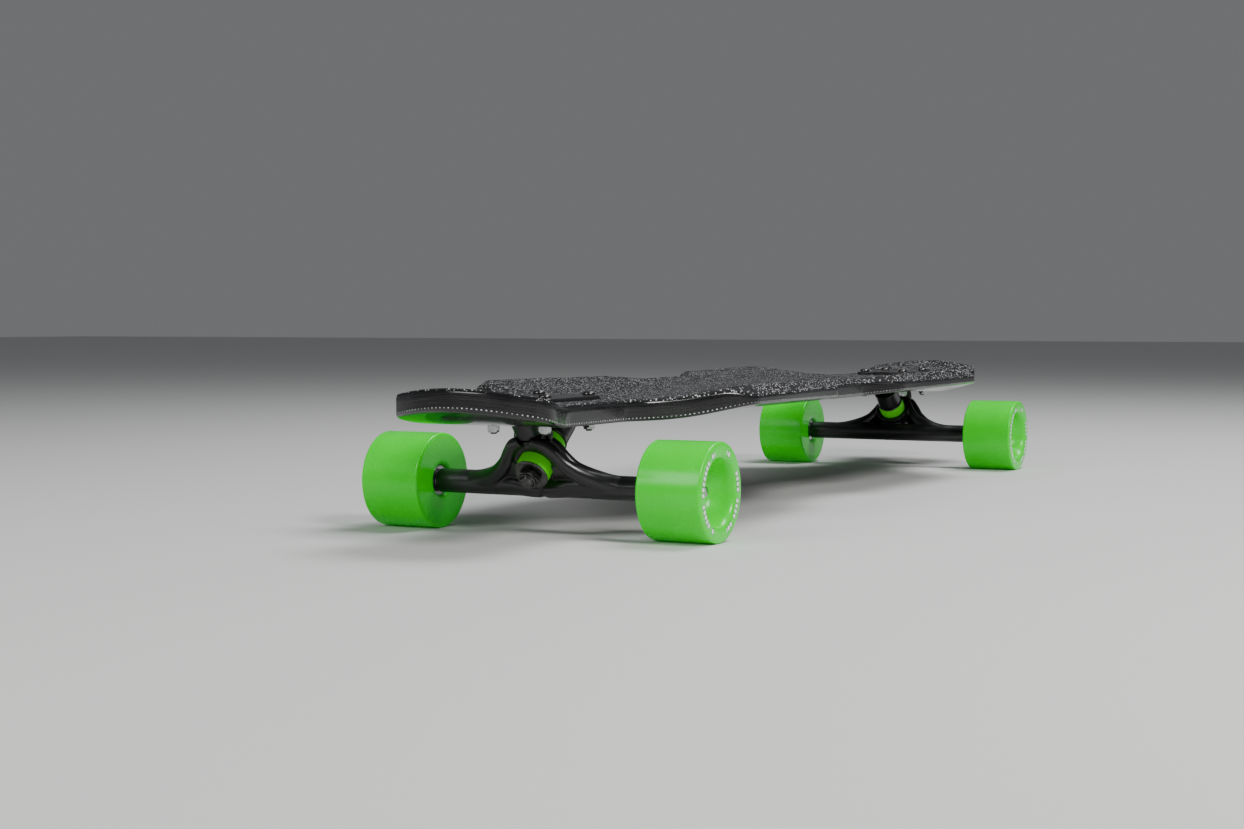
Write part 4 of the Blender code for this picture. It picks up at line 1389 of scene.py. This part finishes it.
        solids = [
            bar(s.tube, -s.hanger_half, s.hanger_half, across, 64),
            bar(0.0174, -0.0072, 0.0088, king, 64),
            bar(0.0080, s.bushing + 0.0015, s.cup_start - 0.0035, pivot, 40),
            *nose(s.cup_start - 0.006),
            Truck.hood(s),
        ]
        for side in (-1, 1):
            solids.append(Truck.web(side))
            for limb in Truck.limbs:
                solids.append(sweep([(side * x, out, up) for x, out, up, _ in limb],
                                    [radius for *_, radius in limb]))
        mesh = cast("hanger", solids, 0.0007, 7)
        cutters = [
            bar(s.washer + 2 * s.gap, s.seat_web, s.washer_start + 0.02, king, 64),
            bar(s.washer + 2 * s.gap, -s.washer_start - 0.02, -s.seat_web, king, 64),
            bar(0.008, -0.03, 0.03, king, 48),
            bar(s.axle + s.gap, -0.2, 0.2, across, 32),
            bar(0.0110, 0.0215, 0.05, pivot, 48),
        ]
        return gathered("hanger", [from_mesh(carved(mesh, cutters)), *nose(0.0200)])

    def stack(self) -> None:
        """Kingpin, nut, cupped washers and bushings."""
        s = self.sizes
        tip = s.nut_start + s.kingpin_nut + s.kingpin_tail
        low = -s.head_start - s.kingpin_head
        thread_end, head, chamfer = s.nut_start - 0.004, s.kingpin_across / 2, 0.0012
        shank = [(s.kingpin, z) for z in np.arange(tip - 0.0008, thread_end, -0.00014)]
        profile = [(0.0, tip), (s.kingpin - 0.0010, tip), *shank, (s.kingpin, -s.head_start),
                   (head, -s.head_start), (head, low + chamfer), (head - chamfer, low), (0.0, low)]
        pin = turn("kingpin", profile, 72, shape=thread(0.00127, 0.0006, thread_end, tip))
        self.add("kingpin", "kingpin_threaded", pin, (Paint.DARK_STEEL,), "deck",
                 self.kingpin_frame)
        self.nut("kingpin_nut", "kingpin_lock_nut", s.kingpin_across, s.kingpin_nut, s.kingpin,
                 self.kingpin_frame @ Matrix.Translation((0, 0, s.nut_start)), "deck",
                 (Paint.DARK_STEEL, Paint.COLLAR))
        bore = s.kingpin + s.gap
        r, h, t = s.bushing, s.bushing_height, s.washer_thickness
        for word, flip, sign in (("roadside", Matrix.Identity(4), 1),
                                 ("boardside", Matrix.Rotation(math.pi, 4, "X"), -1)):
            place = self.kingpin_frame @ flip
            barrel = soften([(bore, 0), (r - 0.0005, 0), (r, h * 0.3), (r, h * 0.7),
                             (r - 0.0005, h), (bore, h)], 0.0012, 5, True)
            soft = self.add(f"{word}_bushing", f"{word}_bushing_barrel",
                            turn("bushing", barrel, 96, True), (Paint.BUSHING,), "deck",
                            place @ Matrix.Translation((0, 0, s.bushing_start)), rides=False)
            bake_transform(soft)
            w = s.washer
            cup = soften([(bore, 0.0), (w - 0.0016, 0.0), (w - 0.0004, 0.0), (w, t * 0.5),
                          (w - 0.0010, t), (w - 0.0030, t), (bore + 0.0012, t), (bore, t * 0.8)],
                         0.0006, 3, True)
            self.add(f"{word}_washer", f"{word}_cup_washer", turn("washer", cup, 96, True),
                     (Paint.DARK_STEEL,), "deck",
                     place @ Matrix.Translation((0, 0, s.washer_start)))

    def nut(self, part: str, fine: str, across: float, height: float, hole: float, place: Matrix,
            body: str, paints: Sequence[Paint]) -> None:
        """A lock nut on Z with chamfered corners and a collar.

        Args:
            part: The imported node's name without the end.
            fine: The piece's name without the end.
            across: Width across its flats.
            height: Its height, collar included.
            hole: Radius of the thread in it.
            place: Where it goes.
            body: The body it moves with.
            paints: Finishes of the nut and its collar.
        """
        s = self.sizes
        bore, corner, collar = hole + s.gap, across / math.sqrt(3), across * 0.46
        waist = height * 0.74
        cut = (corner - across / 2) * 0.58
        rows = [(bore, 0.0, 0), (across / 2 * 0.97, 0.0, 0), (corner, cut, 0),
                (corner, waist - cut, 0), (across / 2 * 0.97, waist, 0), (collar, waist, 0),
                (collar, height - 0.0006, 0),
                (collar - 0.0004, height - 0.0001, 0), (collar - 0.0009, height, 1),
                (bore + 0.0004, height, 1), (bore, height - 0.0004, 1)]
        fine_rows: list[tuple[float, float, int]] = []
        for (r0, z0, m0), (r1, z1, _) in zip(rows, rows[1:]):
            fine_rows += [(r0 + (r1 - r0) * k / 4, z0 + (z1 - z0) * k / 4, m0) for k in range(4)]
        fine_rows.append(rows[-1])
        mesh = turn("nut", [(r, z) for r, z, _ in fine_rows], 96, True, hexagon(across),
                    [m for *_, m in fine_rows])
        self.add(part, fine, mesh, paints, body, place)

    def pivot_cup(self) -> None:
        """The moulded cup that the hanger's nose turns in."""
        s = self.sizes
        bore, wall = s.nose + s.gap, s.nose + s.gap + s.cup_wall
        end = s.pivot_reach + s.nose + s.gap + s.cup_wall / 2
        dome = [(bore * math.cos(a), s.pivot_reach + bore * math.sin(a))
                for a in np.linspace(0, math.pi / 2, 9)]
        dome[-1] = (0.0, s.pivot_reach + bore)
        profile = [(0.0, end), (wall - 0.001, end), (wall, end - 0.001), (wall, s.cup_start),
                   (bore + 0.0006, s.cup_start - 0.0002), (bore, s.cup_start + 0.0006), *dome]
        self.add("pivot_cup", "pivot_cup_liner", turn("cup", profile, 64), (Paint.CUP,), "deck",
                 self.pivot_frame)

    def bolts(self) -> None:
        """Four socket bolts and their nuts."""
        s = self.sizes
        head, height, shank = s.bolt_head, s.bolt_head_height, s.bolt
        top = s.plate_top + s.gap
        nut_top = s.deck_under - s.gap
        tail = nut_top - s.bolt_nut_height - s.bolt_tail
        crown = [(head * share, top + height * rise) for share, rise in (
            (0.0, 1.0), (0.50, 1.0), (0.80, 0.88), (0.96, 0.55), (1.0, 0.25), (1.0, 0.0))]
        stem = [(shank, z) for z in np.arange(top - 0.0005, tail, -0.00016)]
        profile = [*soften(crown, 0.0005, 3), *stem, (shank - 0.0005, tail), (0.0, tail)]
        hang = Matrix.Translation((0, 0, nut_top)) @ Matrix.Rotation(math.pi, 4, "X")
        for number, (x, out) in enumerate(s.bolt_places(), 1):
            spot = self.frame @ Matrix.Translation((x, out, 0))
            bolt = turn("bolt", profile, 48, shape=lambda r, h, a: np.where(
                h < top - 0.012, thread(0.0008, 0.0003, -1.0, top)(r, h, a), r))
            socket = bar(s.bolt_socket, top + height * 0.35, top + height + MM, sides=6)
            self.add(f"bolt_{number}", f"socket_bolt_{number}", carved(bolt, [socket]),
                     (Paint.DARK_STEEL,), "deck", spot)
            self.nut(f"bolt_nut_{number}", f"bolt_lock_nut_{number}", s.bolt_nut_across,
                     s.bolt_nut_height, shank, spot @ hang, "deck", (Paint.ZINC, Paint.COLLAR))

    def axle(self) -> None:
        """The axle, threaded where its nuts run."""
        s = self.sizes
        start = s.bearing_face + 0.018
        ends = np.arange(start, s.axle_half - 0.0006, 0.00016)
        half = [(s.axle, z) for z in (0.0, 0.05, *ends)]
        half += [(s.axle - 0.0007, s.axle_half), (0, s.axle_half)]
        profile = [(r, z) for r, z in reversed(half)] + [(r, -z) for r, z in half[1:]]
        mesh = turn("axle", profile, 48, shape=thread(0.00106, 0.00045, start, 1.0, True))
        self.add("axle", "axle_threaded", mesh, (Paint.STEEL,), self.hanger_body,
                 self.frame @ Matrix.Rotation(math.pi / 2, 4, "Y"))


@dataclass
class Wheel:
    """One wheel with its bearings, spacer, washers and nut."""

    shop: Workshop
    truck: Truck
    side: Side

    def __post_init__(self) -> None:
        """Find the wheel's frame, with Z outward from the truck's middle."""
        s = self.truck.sizes
        self.name = f"{self.truck.end.word}_{self.side.word}"
        self.body = f"{self.name}_wheel"
        turned = Matrix.Rotation(self.side.value * math.pi / 2, 4, "Y")
        self.line = Matrix.Translation((0, self.truck.end.value * s.axle_y, s.axle_z)) @ turned

    def tread(self) -> bpy.types.Mesh:
        """The urethane, from its tread round the lip and dish to the bearing seats."""
        s = self.truck.sizes
        face, r, seat = s.wheel_width / 2, s.wheel_radius, s.bearing + s.gap
        inner_seat = -face + s.wheel_inset
        inner_end = inner_seat + s.bearing_width
        outer_seat = inner_end + s.core_gap
        outer_end = outer_seat + s.bearing_width
        dish = face - outer_end
        crown = [(r - 0.0001 * (k / 6) ** 2, face * 0.85 * k / 6) for k in range(-6, 7)]
        corners = [
            *reversed(crown), (r, -face), (seat + 0.0016, -face + 0.0006), (seat, -face + 0.0020),
            (seat, inner_end + s.gap), (seat - 0.0026, inner_end + s.gap),
            (seat - 0.0026, outer_seat - s.gap), (seat, outer_seat - s.gap),
            (seat, outer_end + 0.0010), (r * 0.49, outer_end + dish * 0.19),
            (r * 0.60, outer_end + dish * 0.55),
            (r * 0.655, face - dish * 0.12), (r * 0.72, face), (r, face)]
        profile = soften(corners, 0.0034, 6, True)
        return turn("tread", profile, 144, True)

    def build(self) -> None:
        """Make the wheel and what sits in it."""
        s, n = self.truck.sizes, self.name
        face = s.wheel_width / 2
        centre = s.bearing_face - s.wheel_inset + face
        self.shop.piece(f"{n}_urethane_wheel", self.tread(), (Paint.WHEEL,), self.body,
                        self.line @ Matrix.Translation((0, 0, centre)), stands_for=f"{n}_wheel")
        starts = {"inner": s.bearing_face, "outer": s.bearing_face + s.bearing_width + s.core_gap}
        for word, start in starts.items():
            self.shop.piece(f"{n}_{word}_ball_bearing", self.race(), (Paint.STEEL, Paint.SHIELD),
                            self.body, self.line @ Matrix.Translation((0, 0, start)),
                            stands_for=f"{n}_{word}_bearing")
        inside, outside, ends = s.axle + 0.0004, 0.0052, (0.0002, s.core_gap - 0.0002)
        spacer = soften([(inside, ends[0]), (outside, ends[0]), (outside, ends[1]),
                         (inside, ends[1])], 0.0003, 2, True)
        middle = Matrix.Translation((0, 0, starts["inner"] + s.bearing_width))
        self.shop.piece(f"{n}_bearing_spacer", turn("spacer", spacer, 48, True), (Paint.STEEL,),
                        self.body, self.line @ middle)
        rim, hole = s.axle + 0.0032, s.axle + s.gap
        ring = soften([(hole, 0), (rim, 0), (rim, s.speed_washer), (hole, s.speed_washer)],
                      0.0002, 2, True)
        outer = starts["outer"] + s.bearing_width + s.gap
        for word, start, node in (("inner", s.hanger_half + s.gap, f"{n}_speed_washer"),
                                  ("outer", outer, "")):
            self.shop.piece(f"{n}_{word}_speed_ring", turn("speed_ring", ring, 48, True),
                            (Paint.STEEL,), self.truck.hanger_body,
                            self.line @ Matrix.Translation((0, 0, start)), stands_for=node)
        place = self.line @ Matrix.Translation((0, 0, outer + s.speed_washer + s.gap))
        self.truck.nut(f"{self.side.word}_axle_nut", f"{self.side.word}_axle_lock_nut",
                       s.axle_nut_across, s.axle_nut_height, s.axle, place,
                       self.truck.hanger_body, (Paint.STEEL, Paint.COLLAR))

    def race(self) -> bpy.types.Mesh:
        """A bearing: two rings with a shield sunk between them on both faces."""
        s = self.truck.sizes
        r, w, bore, sunk = s.bearing, s.bearing_width, s.axle + 0.0004, 0.0004
        front = [(bore, 0.0003, 0), (bore + 0.0003, 0.0, 0), (0.0058, 0.0, 0), (0.0059, sunk, 1),
                 (0.0074, sunk - 0.0001, 1), (0.0089, sunk, 1), (0.0091, 0.0, 0),
                 (r - 0.0004, 0.0, 0), (r - 0.0001, 0.0001, 0), (r, 0.0004, 0)]
        marks = [m for *_, m in front]
        back = [(a, w - z) for a, z, _ in reversed(front)]
        back_marks = marks[-2::-1] + [0]
        return turn("race", [(a, z) for a, z, _ in front] + back, 96, True,
                    row_material=marks + back_marks)


# ---------------------------------------------------------------- studio
@dataclass
class Studio:
    """Floor, lights and camera."""

    focal: float = 55.42
    eye: Point = (0.676, -1.5495, 0.1526)
    tilt: float = math.pi / 2 - 0.0494
    heading: float = 0.4793

    def build(self) -> None:
        """Set the stage."""
        self.floor()
        for softbox in (
                ("key_softbox", (1.5, -0.9, 1.4), (0, -0.1, 0.05), 0.6, 34, (1.0, 0.985, 0.96)),
                ("top_softbox", (0.5, 0.7, 2.0), (0, 0.0, 0.05), 1.0, 40, (0.97, 0.985, 1.0)),
                ("front_softbox", (-0.5, -2.0, 1.1), (0, -0.2, 0.05), 0.9, 16, (1.0, 1.0, 1.0))):
            self.light(*softbox)
        world = bpy.data.worlds.new("soft_room")
        world.use_nodes = True
        background = world.node_tree.nodes["Background"]
        background.inputs["Color"].default_value = (0.80, 0.82, 0.85, 1)
        background.inputs["Strength"].default_value = 0.20
        bpy.context.scene.world = world
        lens = bpy.data.cameras.new("viewpoint")
        lens.lens = self.focal
        lens.sensor_width = 36.0
        lens.clip_start = 0.01
        camera = bpy.data.objects.new("viewpoint", lens)
        camera.location = self.eye
        camera.rotation_euler = (self.tilt, 0, self.heading)
        bpy.context.scene.collection.objects.link(camera)
        bpy.context.scene.camera = camera

    @staticmethod
    def floor() -> None:
        """A plain pale floor."""
        bm = bmesh.new()
        bmesh.ops.create_grid(bm, x_segments=2, y_segments=2, size=12)
        mesh = settled("studio_floor", bm)
        made = bpy.data.materials.new("pale_floor")
        made.use_nodes = True
        shader = made.node_tree.nodes["Principled BSDF"]
        shader.inputs["Base Color"].default_value = (0.62, 0.62, 0.61, 1)
        shader.inputs["Roughness"].default_value = 0.75
        mesh.materials.append(made)
        floor = bpy.data.objects.new("studio_floor", mesh)
        bpy.context.scene.collection.objects.link(floor)

    @staticmethod
    def light(name: str, place: Point, target: Point, size: float, power: float,
              colour: tuple[float, float, float]) -> None:
        """A square soft light.

        Args:
            name: Its name.
            place: Where it stands.
            target: What it points at.
            size: Its width.
            power: Its watts.
            colour: Its colour.
        """
        lamp = bpy.data.lights.new(name, "AREA")
        lamp.size = size
        lamp.energy = power
        lamp.color = colour
        holder = bpy.data.objects.new(name, lamp)
        holder.location = place
        holder.rotation_euler = (Vector(place) - Vector(target)).to_track_quat("Z", "Y").to_euler()
        bpy.context.scene.collection.objects.link(holder)


def main() -> None:
    """Build the longboard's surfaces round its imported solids."""
    logging.basicConfig(level=logging.INFO, format="%(name)s %(message)s")
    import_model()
    shop = Workshop()
    sizes = TruckSizes()
    Deck(shop).build(sizes)
    for end in End:
        Truck(shop, end, sizes).build()
    Studio().build()


if __name__ == "__main__":
    main()
